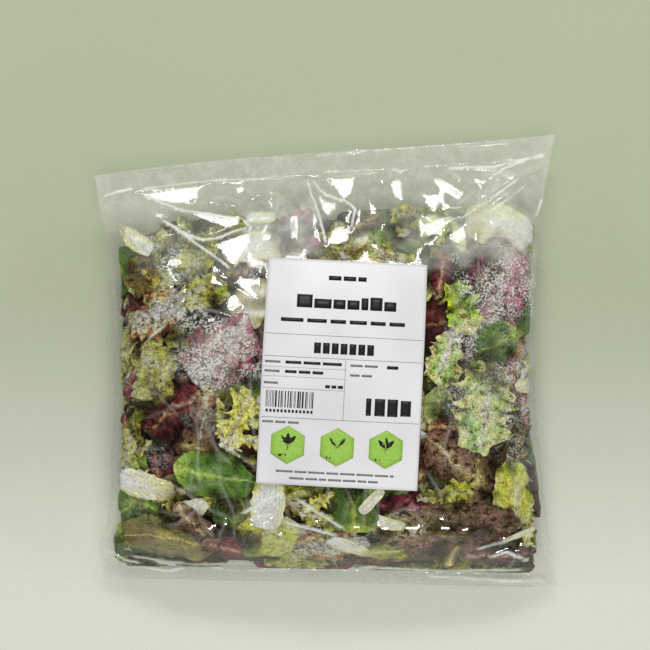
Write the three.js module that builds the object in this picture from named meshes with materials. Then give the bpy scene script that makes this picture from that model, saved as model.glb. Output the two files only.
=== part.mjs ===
// A clear pillow bag of mixed salad leaves, lying on its back with its labelled side up.
// Millimetres, +Z up, +Y towards the bag's top seal. The bag is one closed solid out to its film:
// a lofted pillow that lies flat on its back and thins into a crimped seal strip at each end.
// The paper label is a thin sheet that follows the film.
import * as THREE from "three";

// Plan of the laid-out bag. The top edge slants, because the left side of the headspace stands up.
const corner = {
  bottomLeft: { x: -134.5, y: -127 },
  bottomRight: { x: 142, y: -133 },
  topLeft: { x: -138, y: 116 },
  topRight: { x: 139, y: 144 },
};
const waistPull = { left: 9, right: 15 }; // how far each side draws in between its corners
const waistSharpness = 0.8;
const topWave = { height: 2.4, turns: 0.75 }; // the top edge isn't quite straight
const ear = { share: 0.085, spread: 0.04, reach: 5.5 }; // stands out low on the left side

// Seal strips, and how far from each strip the pillow reaches its full height
const sealStrip = { bottom: 7.5, top: 13 };
const swell = { bottom: 62, top: 112 };
const swellPower = { bottom: 2.3, top: 1.8 };
const sealHalfThickness = 0.35;

// Heights above the floor
const foldHeight = 23; // the side fold, at the fullest part
const sealHeight = { bottom: 7, top: 12 };
const crownRise = 38; // from the side fold up to the crown
const bellyDrop = 28; // from the side fold down; the floor flattens it
const crownSquareness = 2.5;
const bellySquareness = 3.4;

// The headspace film stands up at the top edge, most at the left corner
const headspaceReach = 62;
const headspaceLift = { left: 17, middle: 6, right: 9 };
const liftTurns = { middleAt: 0.5, rightFrom: 0.6 }; // shares of the width
const sealTurns = { from: 0.3, to: 0.7 }; // shares of the length, from one seal's height to the other's

// Lumps that the leaves press into the film, and gathers that run in from the seals
const lump = { count: 64, seed: 20417, low: -1.8, high: 3.4, narrow: 9, wide: 21 };
const gather = { height: 2.2, reach: 30, pitch: 43, slant: 3, finePitch: 26, fineShare: 0.45 };

// The label: a paper sheet with its own small turn on the bag
const label = {
  width: 93,
  height: 131,
  thickness: 0.25,
  clearance: 0.35,
  centre: { x: 10, y: -1 },
  turn: THREE.MathUtils.degToRad(-2.9),
  calm: 0.25, // the share of the lumps that shows through the stiff paper
  calmEdge: 12, // and how far beyond its edges that share rises to one
};

// Mesh steps
const steps = { crown: 44, belly: 22, along: 60, strip: 3, labelAcross: 12, labelAlong: 17 };
const crowding = 0.5; // how much closer the cross sections stand near the seals

const filmLook = { color: 0x8a9a52, roughness: 0.25, metalness: 0 };
const paperLook = { color: 0xe9e8e8, roughness: 0.55, metalness: 0 };

const { lerp, clamp, smoothstep } = THREE.MathUtils;

// Draws numbers from 0 to 1 by the minimal standard generator, so that the lumps never change.
function randomFrom(seed) {
  const multiplier = 16807;
  const modulus = 2147483647;
  let state = seed;
  return () => {
    state = (state * multiplier) % modulus;
    return state / modulus;
  };
}

function makeLumps() {
  const draw = randomFrom(lump.seed);
  return Array.from({ length: lump.count }, () => ({
    x: lerp(corner.bottomLeft.x, corner.bottomRight.x, draw()),
    y: lerp(corner.bottomLeft.y, corner.topLeft.y, draw()),
    radius: lerp(lump.narrow, lump.wide, draw()),
    height: lerp(lump.low, lump.high, draw()),
  }));
}
const lumps = makeLumps();

// The bottom edge is straight, and the top edge waves a little.
function shareAcross(left, right, x) {
  return (x - left.x) / (right.x - left.x);
}
function bottomEdge(x) {
  const { bottomLeft, bottomRight } = corner;
  return lerp(bottomLeft.y, bottomRight.y, shareAcross(bottomLeft, bottomRight, x));
}
function topEdge(x) {
  const { topLeft, topRight } = corner;
  const across = shareAcross(topLeft, topRight, x);
  const wave = topWave.height * Math.sin(2 * Math.PI * topWave.turns * across);
  return lerp(topLeft.y, topRight.y, across) + wave;
}

// The share of the way from the bottom edge to the top edge
function shareAlong(x, y) {
  return (y - bottomEdge(x)) / (topEdge(x) - bottomEdge(x));
}

// The left and right outline at a share of the length
function sides(share) {
  const waist = Math.max(Math.sin(Math.PI * share), 0) ** waistSharpness;
  const earOut = ear.reach * Math.exp(-(((share - ear.share) / ear.spread) ** 2));
  return {
    left: lerp(corner.bottomLeft.x, corner.topLeft.x, share) + waistPull.left * waist - earOut,
    right: lerp(corner.bottomRight.x, corner.topRight.x, share) - waistPull.right * waist,
  };
}

// How full the pillow is, from 0 in the seal strips to 1, and how far a place is from each strip
function fullness(x, share) {
  const length = topEdge(x) - bottomEdge(x);
  const fromBottom = share * length - sealStrip.bottom;
  const fromTop = (1 - share) * length - sealStrip.top;
  const rise = 1 - (1 - clamp(fromBottom / swell.bottom, 0, 1)) ** swellPower.bottom;
  const fall = 1 - (1 - clamp(fromTop / swell.top, 0, 1)) ** swellPower.top;
  return { full: rise * fall, fromBottom, fromTop };
}

// The height of the fold where crown and belly meet, with the headspace's lift in it
function foldLine(x, share) {
  const { full, fromTop } = fullness(x, share);
  const across = clamp(shareAcross(corner.topLeft, corner.topRight, x), 0, 1);
  const toMiddle = smoothstep(across, 0, liftTurns.middleAt);
  const toRight = smoothstep(across, liftTurns.rightFrom, 1);
  const lift =
    lerp(headspaceLift.left, headspaceLift.middle, toMiddle) +
    (headspaceLift.right - headspaceLift.middle) * toRight;
  const raised = smoothstep(headspaceReach - sealStrip.top - fromTop, 0, headspaceReach);
  const towardsTop = smoothstep(share, sealTurns.from, sealTurns.to);
  const atSeal = lerp(sealHeight.bottom, sealHeight.top, towardsTop);
  return lerp(atSeal, foldHeight, full) + lift * raised;
}

// A place on the label, counted from its centre along its own sides
function labelPlace(x, y) {
  const dx = x - label.centre.x;
  const dy = y - label.centre.y;
  const cosine = Math.cos(label.turn);
  const sine = Math.sin(label.turn);
  return { across: dx * cosine + dy * sine, along: dy * cosine - dx * sine };
}

// Lumps and gathers on the crown, calmed under the label
function relief(x, y, share, full, fromBottom, fromTop) {
  const { across, along } = labelPlace(x, y);
  const outside = Math.max(
    Math.abs(across) - label.width / 2,
    Math.abs(along) - label.height / 2,
  );
  const shown = lerp(label.calm, 1, smoothstep(outside, 0, label.calmEdge));
  let height = 0;
  for (const { x: cx, y: cy, radius, height: rise } of lumps) {
    const away = ((x - cx) ** 2 + (y - cy) ** 2) / (2 * radius * radius);
    height += rise * Math.exp(-away);
  }
  const nearSeal = Math.max(Math.min(fromBottom, fromTop), 0) / gather.reach;
  const wave = Math.cos((2 * Math.PI * x) / gather.pitch + gather.slant * share);
  const fineWave = Math.sin((2 * Math.PI * x) / gather.finePitch);
  const waves = lerp(wave, fineWave, gather.fineShare);
  const gathers = gather.height * waves * nearSeal * Math.exp(1 - nearSeal);
  return (height * full + gathers) * shown;
}

const archOf = (u, squareness) => (1 - Math.abs(u) ** squareness) ** (1 / squareness);

// The film's upper and lower height over a place of the plan
function heights(x, y) {
  const share = clamp(shareAlong(x, y), 0, 1);
  const { left, right } = sides(share);
  const u = clamp((2 * x - left - right) / (right - left), -1, 1);
  const { full, fromBottom, fromTop } = fullness(x, share);
  const fold = foldLine(x, share);
  const crown = archOf(u, crownSquareness);
  const belly = archOf(u, bellySquareness);
  const bumps = relief(x, y, share, full, fromBottom, fromTop) * crown;
  const upper = fold + (crownRise * full + sealHalfThickness) * crown + bumps;
  const lower = fold - (bellyDrop * full + sealHalfThickness) * belly;
  return { upper, lower: Math.max(lower, 0) };
}

// Joins rings of equal length into a skin. Each ring runs once round the bag.
function skin(rings) {
  const around = rings[0].length;
  const index = [];
  for (let i = 0; i + 1 < rings.length; i++) {
    for (let j = 0; j < around; j++) {
      const a = i * around + j;
      const b = i * around + ((j + 1) % around);
      index.push(a, b, b + around, a, b + around, a + around);
    }
  }
  return index;
}

// One ring: along the crown from the left side to the right, and back under the belly
function ringAt(share) {
  const { left, right } = sides(share);
  const centre = (left + right) / 2;
  const half = (right - left) / 2;
  const ring = [];
  const place = (angle, side) => {
    const x = centre - half * Math.cos(angle);
    const y = lerp(bottomEdge(x), topEdge(x), share);
    const onFold = Math.sin(angle) < Number.EPSILON;
    ring.push(new THREE.Vector3(x, y, onFold ? foldLine(x, share) : heights(x, y)[side]));
  };
  for (let j = 0; j <= steps.crown; j++) place((Math.PI * j) / steps.crown, "upper");
  for (let j = steps.belly - 1; j > 0; j--) place((Math.PI * j) / steps.belly, "lower");
  return ring;
}

// A flat lid over an end ring: a strip of faces between its crown side and its belly side
function lid(ring, first, facesOut) {
  const crownSide = Array.from({ length: steps.crown + 1 }, (_, j) => j);
  const bellySide = [0];
  for (let j = ring.length - 1; j > steps.crown; j--) bellySide.push(j);
  bellySide.push(steps.crown);
  const index = [];
  let a = 0;
  let b = 0;
  const push = (p, q, r) => index.push(...(facesOut ? [p, q, r] : [p, r, q]).map((k) => k + first));
  while (a + 1 < crownSide.length || b + 1 < bellySide.length) {
    const nextA = a + 1 < crownSide.length ? ring[crownSide[a + 1]].x : Infinity;
    const nextB = b + 1 < bellySide.length ? ring[bellySide[b + 1]].x : Infinity;
    const stepCrown = nextA <= nextB;
    const [p, q] = [crownSide[a], bellySide[b]];
    const r = stepCrown ? crownSide[++a] : bellySide[++b];
    if (p !== q && p !== r && q !== r) push(p, q, r);
  }
  return index;
}

// Stations crowd together near the seals, where the film turns most.
function stationShares() {
  const length = topEdge(0) - bottomEdge(0);
  const inner = [sealStrip.bottom / length, 1 - sealStrip.top / length];
  const between = steps.along - 2 * steps.strip;
  const shares = [];
  for (let i = 0; i < steps.strip; i++) shares.push((inner[0] * i) / steps.strip);
  for (let i = 0; i <= between; i++) {
    const even = i / between;
    const eased = even - (crowding * Math.sin(2 * Math.PI * even)) / (2 * Math.PI);
    shares.push(lerp(inner[0], inner[1], eased));
  }
  for (let i = 1; i <= steps.strip; i++) shares.push(lerp(inner[1], 1, i / steps.strip));
  return shares;
}

function geometryFrom(points, index) {
  return new THREE.BufferGeometry().setFromPoints(points).setIndex(index);
}

function bagGeometry() {
  const rings = stationShares().map(ringAt);
  const lastRing = (rings.length - 1) * rings[0].length;
  const index = [
    ...skin(rings),
    ...lid(rings[0], 0, true),
    ...lid(rings[rings.length - 1], lastRing, false),
  ];
  return geometryFrom(rings.flat(), index);
}

// The label's two faces, over one grid, joined by a rim
function labelGeometry() {
  const points = [];
  const index = [];
  const cosine = Math.cos(label.turn);
  const sine = Math.sin(label.turn);
  for (const lift of [label.clearance, label.clearance + label.thickness]) {
    for (let i = 0; i <= steps.labelAlong; i++) {
      for (let j = 0; j <= steps.labelAcross; j++) {
        const across = label.width * (j / steps.labelAcross - 0.5);
        const along = label.height * (i / steps.labelAlong - 0.5);
        const x = label.centre.x + across * cosine - along * sine;
        const y = label.centre.y + across * sine + along * cosine;
        points.push(new THREE.Vector3(x, y, heights(x, y).upper + lift));
      }
    }
  }
  const row = steps.labelAcross + 1;
  const face = row * (steps.labelAlong + 1);
  const quad = (a, b, c, d) => index.push(a, b, c, a, c, d);
  for (let i = 0; i < steps.labelAlong; i++) {
    for (let j = 0; j < steps.labelAcross; j++) {
      const a = i * row + j;
      quad(face + a, face + a + 1, face + a + row + 1, face + a + row);
      quad(a, a + row, a + row + 1, a + 1);
    }
  }
  for (let j = 0; j < steps.labelAcross; j++) {
    const far = steps.labelAlong * row + j;
    quad(j, j + 1, face + j + 1, face + j);
    quad(far + 1, far, face + far, face + far + 1);
  }
  for (let i = 0; i < steps.labelAlong; i++) {
    const near = i * row;
    const far = near + steps.labelAcross;
    quad(near + row, near, face + near, face + near + row);
    quad(far, far + row, face + far + row, face + far);
  }
  return geometryFrom(points, index);
}

function namedMesh(name, geometry, look) {
  geometry.computeVertexNormals();
  const mesh = new THREE.Mesh(geometry, new THREE.MeshStandardMaterial(look));
  mesh.name = name;
  return mesh;
}

const bag = namedMesh("bag", bagGeometry(), filmLook);
const paper = namedMesh("label", labelGeometry(), paperLook);

// The origin is under the middle of the whole bag, on the floor.
const salad = new THREE.Group();
salad.add(bag, paper);
const reach = new THREE.Box3().setFromObject(salad);
const middle = reach.getCenter(new THREE.Vector3());
salad.position.set(-middle.x, -middle.y, -reach.min.z);

export default salad;
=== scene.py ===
"""A sealed bag of mixed salad leaves: clear film, misted inside, over the leaves, with a paper label.

The plan of the bag is in millimetres, as in the solid it replaces, and every mesh is in metres.
Leaves are laid out on the unrolled film, at a depth below it, so they hug it on every side.
"""
import math

import bmesh
import bpy
import numpy as np
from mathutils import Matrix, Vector
from mathutils.geometry import delaunay_2d_cdt


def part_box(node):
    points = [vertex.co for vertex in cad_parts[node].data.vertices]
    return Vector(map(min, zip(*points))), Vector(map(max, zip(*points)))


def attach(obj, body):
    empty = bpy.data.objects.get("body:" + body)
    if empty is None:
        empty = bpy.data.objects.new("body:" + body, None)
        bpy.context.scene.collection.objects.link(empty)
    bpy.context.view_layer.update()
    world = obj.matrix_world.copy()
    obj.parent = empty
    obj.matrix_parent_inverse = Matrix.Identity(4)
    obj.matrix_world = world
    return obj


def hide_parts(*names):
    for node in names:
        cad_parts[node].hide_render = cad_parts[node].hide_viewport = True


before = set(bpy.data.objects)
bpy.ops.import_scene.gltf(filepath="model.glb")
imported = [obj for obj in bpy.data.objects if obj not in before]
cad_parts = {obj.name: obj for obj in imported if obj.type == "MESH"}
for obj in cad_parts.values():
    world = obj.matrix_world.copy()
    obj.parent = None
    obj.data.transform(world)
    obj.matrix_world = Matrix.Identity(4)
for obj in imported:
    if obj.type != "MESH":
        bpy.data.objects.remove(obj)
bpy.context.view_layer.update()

MM = 0.001
SEED = 7301
# The least that two numbers or lengths may differ by to count as different
NEAR = 1e-6
NO_LENGTH = 1e-9

# The bag's form, the same as its solid's
CORNER = {
    "bottom_left": (-134.5, -127),
    "bottom_right": (142, -133),
    "top_left": (-138, 116),
    "top_right": (139, 144),
}
WAIST_PULL = {"left": 9, "right": 15}
WAIST_SHARPNESS = 0.8
TOP_WAVE = {"height": 2.4, "turns": 0.75}
EAR = {"share": 0.085, "spread": 0.04, "reach": 5.5}
SEAL_STRIP = {"bottom": 7.5, "top": 13}
TOP_WIDTH = CORNER["top_right"][0] - CORNER["top_left"][0]
SWELL = {"bottom": 62, "top": 112}
SWELL_POWER = {"bottom": 2.3, "top": 1.8}
SEAL_HALF_THICKNESS = 0.35
FOLD_HEIGHT = 23
SEAL_HEIGHT = {"bottom": 7, "top": 12}
CROWN_RISE = 38
BELLY_DROP = 28
CROWN_SQUARENESS = 2.5
BELLY_SQUARENESS = 3.4
HEADSPACE_REACH = 62
HEADSPACE_LIFT = {"left": 17, "middle": 6, "right": 9}
LIFT_TURNS = {"middle_at": 0.5, "right_from": 0.6}
SEAL_TURNS = {"from": 0.3, "to": 0.7}
LUMP = {"count": 64, "seed": 20417, "low": -1.8, "high": 3.4, "narrow": 9, "wide": 21}
GENERATOR = {"factor": 16807, "modulus": 2147483647}
GATHER = {"height": 2.2, "reach": 30, "pitch": 43, "slant": 3, "fine_pitch": 26, "fine_share": 0.45}
LABEL = {
    "width": 93,
    "height": 131,
    "thickness": 0.25,
    "clearance": 0.35,
    "centre": (10, -1),
    "turn": math.radians(-2.9),
    "calm": 0.25,
    "calm_edge": 12,
}


def lerp(a, b, t):
    return a + (b - a) * t


def smoothstep(x, low, high):
    t = np.clip((x - low) / (high - low), 0, 1)
    return t * t * (3 - 2 * t)


def lumps():
    """The lumps of the solid, drawn by the same minimal standard generator."""
    state = LUMP["seed"]
    rows = []
    for _ in range(LUMP["count"]):
        draws = []
        for _ in range(4):
            state = state * GENERATOR["factor"] % GENERATOR["modulus"]
            draws.append(state / GENERATOR["modulus"])
        x = lerp(CORNER["bottom_left"][0], CORNER["bottom_right"][0], draws[0])
        y = lerp(CORNER["bottom_left"][1], CORNER["top_left"][1], draws[1])
        radius = lerp(LUMP["narrow"], LUMP["wide"], draws[2])
        height = lerp(LUMP["low"], LUMP["high"], draws[3])
        rows.append((x, y, radius, height))
    return rows


LUMPS = lumps()


def share_across(left, right, x):
    return (x - left[0]) / (right[0] - left[0])


def across_top(x):
    """The share of the way from the top's left corner to its right one."""
    return share_across(CORNER["top_left"], CORNER["top_right"], x)


def bottom_edge(x):
    left, right = CORNER["bottom_left"], CORNER["bottom_right"]
    return lerp(left[1], right[1], share_across(left, right, x))


def top_edge(x):
    across = across_top(x)
    wave = TOP_WAVE["height"] * np.sin(2 * math.pi * TOP_WAVE["turns"] * across)
    return lerp(CORNER["top_left"][1], CORNER["top_right"][1], across) + wave


def share_along(x, y):
    return (y - bottom_edge(x)) / (top_edge(x) - bottom_edge(x))


def sides(share):
    """The left and right outline at a share of the bag's length."""
    waist = np.maximum(np.sin(math.pi * share), 0) ** WAIST_SHARPNESS
    ear = EAR["reach"] * np.exp(-(((share - EAR["share"]) / EAR["spread"]) ** 2))
    left = lerp(CORNER["bottom_left"][0], CORNER["top_left"][0], share)
    right = lerp(CORNER["bottom_right"][0], CORNER["top_right"][0], share)
    return left + WAIST_PULL["left"] * waist - ear, right - WAIST_PULL["right"] * waist


def fullness(x, share):
    """How full the pillow is, from 0 to 1, and how far a place is from each seal strip."""
    length = top_edge(x) - bottom_edge(x)
    from_bottom = share * length - SEAL_STRIP["bottom"]
    from_top = (1 - share) * length - SEAL_STRIP["top"]
    near_bottom = np.clip(from_bottom / SWELL["bottom"], 0, 1)
    near_top = np.clip(from_top / SWELL["top"], 0, 1)
    rise = 1 - (1 - near_bottom) ** SWELL_POWER["bottom"]
    fall = 1 - (1 - near_top) ** SWELL_POWER["top"]
    return rise * fall, from_bottom, from_top


def fold_line(x, share):
    """The height where crown and belly meet."""
    full, _, from_top = fullness(x, share)
    across = np.clip(across_top(x), 0, 1)
    to_middle = smoothstep(across, 0, LIFT_TURNS["middle_at"])
    to_right = smoothstep(across, LIFT_TURNS["right_from"], 1)
    lift = lerp(HEADSPACE_LIFT["left"], HEADSPACE_LIFT["middle"], to_middle)
    lift = lift + (HEADSPACE_LIFT["right"] - HEADSPACE_LIFT["middle"]) * to_right
    raised = smoothstep(HEADSPACE_REACH - SEAL_STRIP["top"] - from_top, 0, HEADSPACE_REACH)
    towards_top = smoothstep(share, SEAL_TURNS["from"], SEAL_TURNS["to"])
    at_seal = lerp(SEAL_HEIGHT["bottom"], SEAL_HEIGHT["top"], towards_top)
    return lerp(at_seal, FOLD_HEIGHT, full) + lift * raised


def label_place(x, y):
    """A place on the label, counted from its centre along its own sides."""
    dx, dy = x - LABEL["centre"][0], y - LABEL["centre"][1]
    cosine, sine = math.cos(LABEL["turn"]), math.sin(LABEL["turn"])
    return dx * cosine + dy * sine, dy * cosine - dx * sine


def outside_label(x, y):
    across, along = label_place(x, y)
    return np.maximum(abs(across) - LABEL["width"] / 2, abs(along) - LABEL["height"] / 2)


def relief(x, y, share, full, from_bottom, from_top):
    """Lumps and gathers on the crown, calmed under the label."""
    shown = lerp(LABEL["calm"], 1, smoothstep(outside_label(x, y), 0, LABEL["calm_edge"]))
    height = np.zeros_like(x)
    for cx, cy, radius, rise in LUMPS:
        height += rise * np.exp(-((x - cx) ** 2 + (y - cy) ** 2) / (2 * radius * radius))
    near_seal = np.maximum(np.minimum(from_bottom, from_top), 0) / GATHER["reach"]
    wave = np.cos(2 * math.pi * x / GATHER["pitch"] + GATHER["slant"] * share)
    fine_wave = np.sin(2 * math.pi * x / GATHER["fine_pitch"])
    waves = lerp(wave, fine_wave, GATHER["fine_share"])
    gathers = GATHER["height"] * waves * near_seal * np.exp(1 - near_seal)
    return (height * full + gathers) * shown


def arch(u, squareness):
    return np.maximum(1 - abs(u) ** squareness, 0) ** (1 / squareness)


def heights(x, share):
    """The film's upper and lower height over a place of the plan, with the fold's height."""
    y = lerp(bottom_edge(x), top_edge(x), share)
    left, right = sides(share)
    u = np.clip((2 * x - left - right) / (right - left), -1, 1)
    full, from_bottom, from_top = fullness(x, share)
    fold = fold_line(x, share)
    crown, belly = arch(u, CROWN_SQUARENESS), arch(u, BELLY_SQUARENESS)
    bumps = relief(x, y, share, full, from_bottom, from_top) * crown
    upper = fold + (CROWN_RISE * full + SEAL_HALF_THICKNESS) * crown + bumps
    lower = fold - (BELLY_DROP * full + SEAL_HALF_THICKNESS) * belly
    return upper, np.maximum(lower, 0), fold


def plan_grid(shares, steps, side):
    """Points of the crown (side 0) or the belly (side 1), evenly spaced along each ring."""
    dense = 500
    angle = np.linspace(0, math.pi, dense)
    rows = []
    for share in shares:
        left, right = sides(share)
        x = (left + right) / 2 - (right - left) / 2 * np.cos(angle)
        around = np.full(dense, share)
        z = heights(x, around)[side]
        walked = np.concatenate([[0], np.cumsum(np.hypot(np.diff(x), np.diff(z)))])
        even = np.linspace(0, walked[-1], steps + 1)
        x = np.interp(even, walked, x)
        z = np.interp(even, walked, z)
        y = lerp(bottom_edge(x), top_edge(x), share)
        rows.append(np.stack([x, y, z], axis=1))
    return np.array(rows)


# From the bag's plan in millimetres to the frame in metres: both share the left and bottom sides.
plan_low = np.array([CORNER["top_left"][0], CORNER["bottom_right"][1], 0])
frame_low = np.array(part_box("bag")[0])


def to_frame(points):
    return (np.asarray(points) - plan_low) * MM + frame_low


class Wrap:
    """The unrolled film under its creases: a table of places round the bag, in millimetres.

    Rows run up the bag. Columns run from the left fold over the crown to the right fold, and back
    under the belly. Each place has a direction into the bag and a greatest depth.
    """

    rows = 136
    crown = 150
    belly = 138
    fold_margin = 34
    last_row = rows - 1.001

    def __init__(self):
        shares = np.linspace(0, 1, self.rows)
        crown = plan_grid(shares, self.crown, 0)
        belly = plan_grid(shares, self.belly, 1)[:, ::-1]
        self.points = np.concatenate([crown[:, :-1], belly[:, :-1]], axis=1)
        self.columns = self.points.shape[1]
        left, right = sides(shares)
        x = self.points[..., 0]
        inner = np.clip(x, (left + self.fold_margin)[:, None], (right - self.fold_margin)[:, None])
        share = np.broadcast_to(shares[:, None], x.shape)
        upper, lower, _ = heights(inner, share)
        y = lerp(bottom_edge(inner), top_edge(inner), share)
        target = np.stack([inner, y, (upper + lower) / 2], axis=2)
        away = target - self.points
        self.room = np.maximum(np.linalg.norm(away, axis=2), NEAR)
        self.inward = away / self.room[..., None]
        self.step_up = np.linalg.norm(np.gradient(self.points, axis=0), axis=2)
        around = np.roll(self.points, -1, axis=1) - np.roll(self.points, 1, axis=1)
        self.step_round = np.linalg.norm(around, axis=2) / 2

    def sample(self, table, row, column):
        """Reads a table between its places, going round the columns."""
        row = np.clip(row, 0, self.last_row)
        r0 = np.floor(row).astype(int)
        c0 = np.floor(column).astype(int)
        fr, fc = row - r0, column - c0
        c0, c1 = c0 % self.columns, (c0 + 1) % self.columns
        if table.ndim == 3:
            fr, fc = fr[..., None], fc[..., None]
        low = lerp(table[r0, c0], table[r0, c1], fc)
        high = lerp(table[r0 + 1, c0], table[r0 + 1, c1], fc)
        return lerp(low, high, fr)

    def find(self, x, y):
        """The row and column of a place of the plan, on the crown."""
        share = float(share_along(np.float64(x), np.float64(y)))
        row = share * (self.rows - 1)
        r0 = int(np.clip(round(row), 0, self.rows - 1))
        column = np.interp(x, self.points[r0, : self.crown, 0], np.arange(self.crown))
        return row, float(column)


WRAP = Wrap()


def new_mesh(name, points, faces, material):
    """Makes a smooth piece from points in plan millimetres and a table of triangles or quads."""
    mesh = bpy.data.meshes.new(name)
    points = to_frame(points)
    mesh.vertices.add(len(points))
    mesh.vertices.foreach_set("co", points.astype(np.float32).ravel())
    faces = np.asarray(faces, np.int32)
    mesh.loops.add(faces.size)
    mesh.loops.foreach_set("vertex_index", faces.ravel())
    mesh.polygons.add(len(faces))
    mesh.polygons.foreach_set("loop_start", np.arange(0, faces.size, faces.shape[1], dtype=np.int32))
    mesh.polygons.foreach_set("use_smooth", np.ones(len(faces), bool))
    mesh.update(calc_edges=True)
    mesh.validate()
    mesh.materials.append(material)
    piece = bpy.data.objects.new(name, mesh)
    bpy.context.scene.collection.objects.link(piece)
    return piece


def cells(rows, columns, closed=False):
    """Each cell of a table of points, by its first point and the next one along its row."""
    r, c = np.meshgrid(np.arange(rows - 1), np.arange(columns if closed else columns - 1), indexing="ij")
    return (r * columns + c).ravel(), (r * columns + (c + 1) % columns).ravel()


def linear(colour):
    """A screen colour, in parts of 255, as a linear one, by the standard screen curve."""
    colour = np.asarray(colour, float) / 255
    return np.where(colour <= 0.04045, colour / 12.92, ((colour + 0.055) / 1.055) ** 2.4)


def screen_colour(colour):
    """A screen colour as a socket takes it."""
    return *linear(colour), 1


def value_noise(rng, x, y, pitch):
    """Smooth noise from -1 to 1 over places in millimetres, with lumps about a pitch across."""
    size = 64
    table = rng.uniform(-1, 1, (size, size))
    gx, gy = x / pitch + size, y / pitch + size
    x0, y0 = np.floor(gx).astype(int), np.floor(gy).astype(int)
    fx, fy = gx - x0, gy - y0
    fx, fy = fx * fx * (3 - 2 * fx), fy * fy * (3 - 2 * fy)
    x0, x1, y0, y1 = x0 % size, (x0 + 1) % size, y0 % size, (y0 + 1) % size
    low = lerp(table[x0, y0], table[x1, y0], fx)
    high = lerp(table[x0, y1], table[x1, y1], fx)
    return lerp(low, high, fy)


def folds(rng, x, y, pitch):
    """Sharp random folds, from -1 to 1, about a pitch apart."""
    return 1 - 2 * abs(value_noise(rng, x, y, pitch))


def colour_layer(piece, name, colours):
    """Keeps a linear colour for each point of a piece."""
    layer = piece.data.color_attributes.new(name, "FLOAT_COLOR", "POINT")
    rgba = np.ones((len(colours), 4), np.float32)
    rgba[:, :3] = colours
    layer.data.foreach_set("color", rgba.ravel())


def uv_layer(piece, places):
    """Keeps a flat place for each point, as the piece's UV map."""
    corners = np.zeros(len(piece.data.loops), np.int32)
    piece.data.loops.foreach_get("vertex_index", corners)
    layer = piece.data.uv_layers.new(name="Flat")
    layer.data.foreach_set("uv", np.asarray(places, np.float32)[corners].ravel())


class Nodes:
    """Short calls for building a material's nodes."""

    def __init__(self, name):
        self.material = bpy.data.materials.new(name)
        self.material.use_nodes = True
        self.tree = self.material.node_tree
        self.tree.nodes.clear()

    def add(self, kind, inputs=None, **settings):
        node = self.tree.nodes.new(kind)
        for key, setting in settings.items():
            setattr(node, key, setting)
        for key, given in (inputs or {}).items():
            self.join(node.inputs[key], given)
        return node

    def join(self, socket, given):
        if isinstance(given, bpy.types.NodeSocket):
            self.tree.links.new(given, socket)
        else:
            socket.default_value = given

    def math(self, operation, *inputs):
        node = self.add("ShaderNodeMath", operation=operation)
        for socket, given in zip(node.inputs, inputs):
            self.join(socket, given)
        return node.outputs[0]

    def span(self, given, low, high, to_low=0.0, to_high=1.0, smooth=True):
        """Maps low..high to to_low..to_high, and holds it there."""
        kind = "SMOOTHSTEP" if smooth else "LINEAR"
        node = self.add("ShaderNodeMapRange", interpolation_type=kind)
        for socket, number in zip(node.inputs, (given, low, high, to_low, to_high)):
            self.join(socket, number)
        return node.outputs["Result"]

    def mix(self, share, first, second, blend="MIX"):
        node = self.add("ShaderNodeMix", data_type="RGBA", blend_type=blend)
        self.join(node.inputs["Factor"], share)
        self.join(node.inputs["A"], first)
        self.join(node.inputs["B"], second)
        return node.outputs["Result"]

    def noise(self, place, scale, detail=2.0, roughness=0.5):
        inputs = {"Vector": place, "Scale": scale, "Detail": detail, "Roughness": roughness}
        return self.add("ShaderNodeTexNoise", inputs).outputs["Fac"]

    def blend(self, share, first, second):
        return self.add("ShaderNodeMixShader", {0: share, 1: first, 2: second}).outputs[0]

    def place(self):
        return self.add("ShaderNodeTexCoord").outputs["Object"]

    def attribute(self, name):
        return self.add("ShaderNodeAttribute", attribute_name=name).outputs["Color"]

    def times_grey(self, colour, parts):
        """A colour times one number for all its parts, or times one number for each of them."""
        grey = self.add("ShaderNodeCombineColor", dict(zip(("Red", "Green", "Blue"), parts)))
        return self.mix(1.0, colour, grey.outputs[0], "MULTIPLY")

    def bump(self, height, strength, distance):
        inputs = {"Height": height, "Strength": strength, "Distance": distance}
        return self.add("ShaderNodeBump", inputs).outputs[0]

    def clear_gloss(self, clear_colour, rim_power, gloss, roughness):
        """A clear skin whose gloss grows towards its rim."""
        facing = self.add("ShaderNodeLayerWeight", {"Blend": 0.5}).outputs["Facing"]
        share = self.span(self.math("POWER", facing, rim_power), 0, 1, *gloss, smooth=False)
        glossy = self.add("ShaderNodeBsdfGlossy", {"Color": (1, 1, 1, 1), "Roughness": roughness})
        clear = self.add("ShaderNodeBsdfTransparent", {"Color": clear_colour})
        return self.blend(share, clear.outputs[0], glossy.outputs[0])

    def finish(self, shader):
        self.add("ShaderNodeOutputMaterial", {"Surface": shader})
        return self.material


# Film: its mesh has points in cells of the unrolled film, along creases and on a jittered grid
FILM = {
    "step": 1.5, "crest_step": 1.3, "beside": (0.6, 1.5), "jitter": 0.25, "margin": 2.5, "free_margin": 0.8,
}
CELL = {"size": 0.45, "edge": 3, "spare": 8, "row_key": 10000}
BELLY_GRID = {"columns": 120, "rows": 150, "folds": 15, "under_leaves": 0.3, "headspace": 1.3}
COLUMN_MM = 2.0
ROW_MM = 1.9
ON_FOLD = 1e-4
SAME_POINT = 1e-5
# How far from each edge the film starts to crease, and the share of it that the seal strips keep
CALM = {"label": 6, "seal": 9, "fold": 9, "end": 2}
STRIP_CREASE = 0.35
FACETS = {"count": 300, "crowd": 0.42, "crowd_reach": 32, "headspace": 1.8, "pillow": 0.42}
HEADSPACE_FROM = {"left": 84, "right": 96, "blend": 14}

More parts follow.
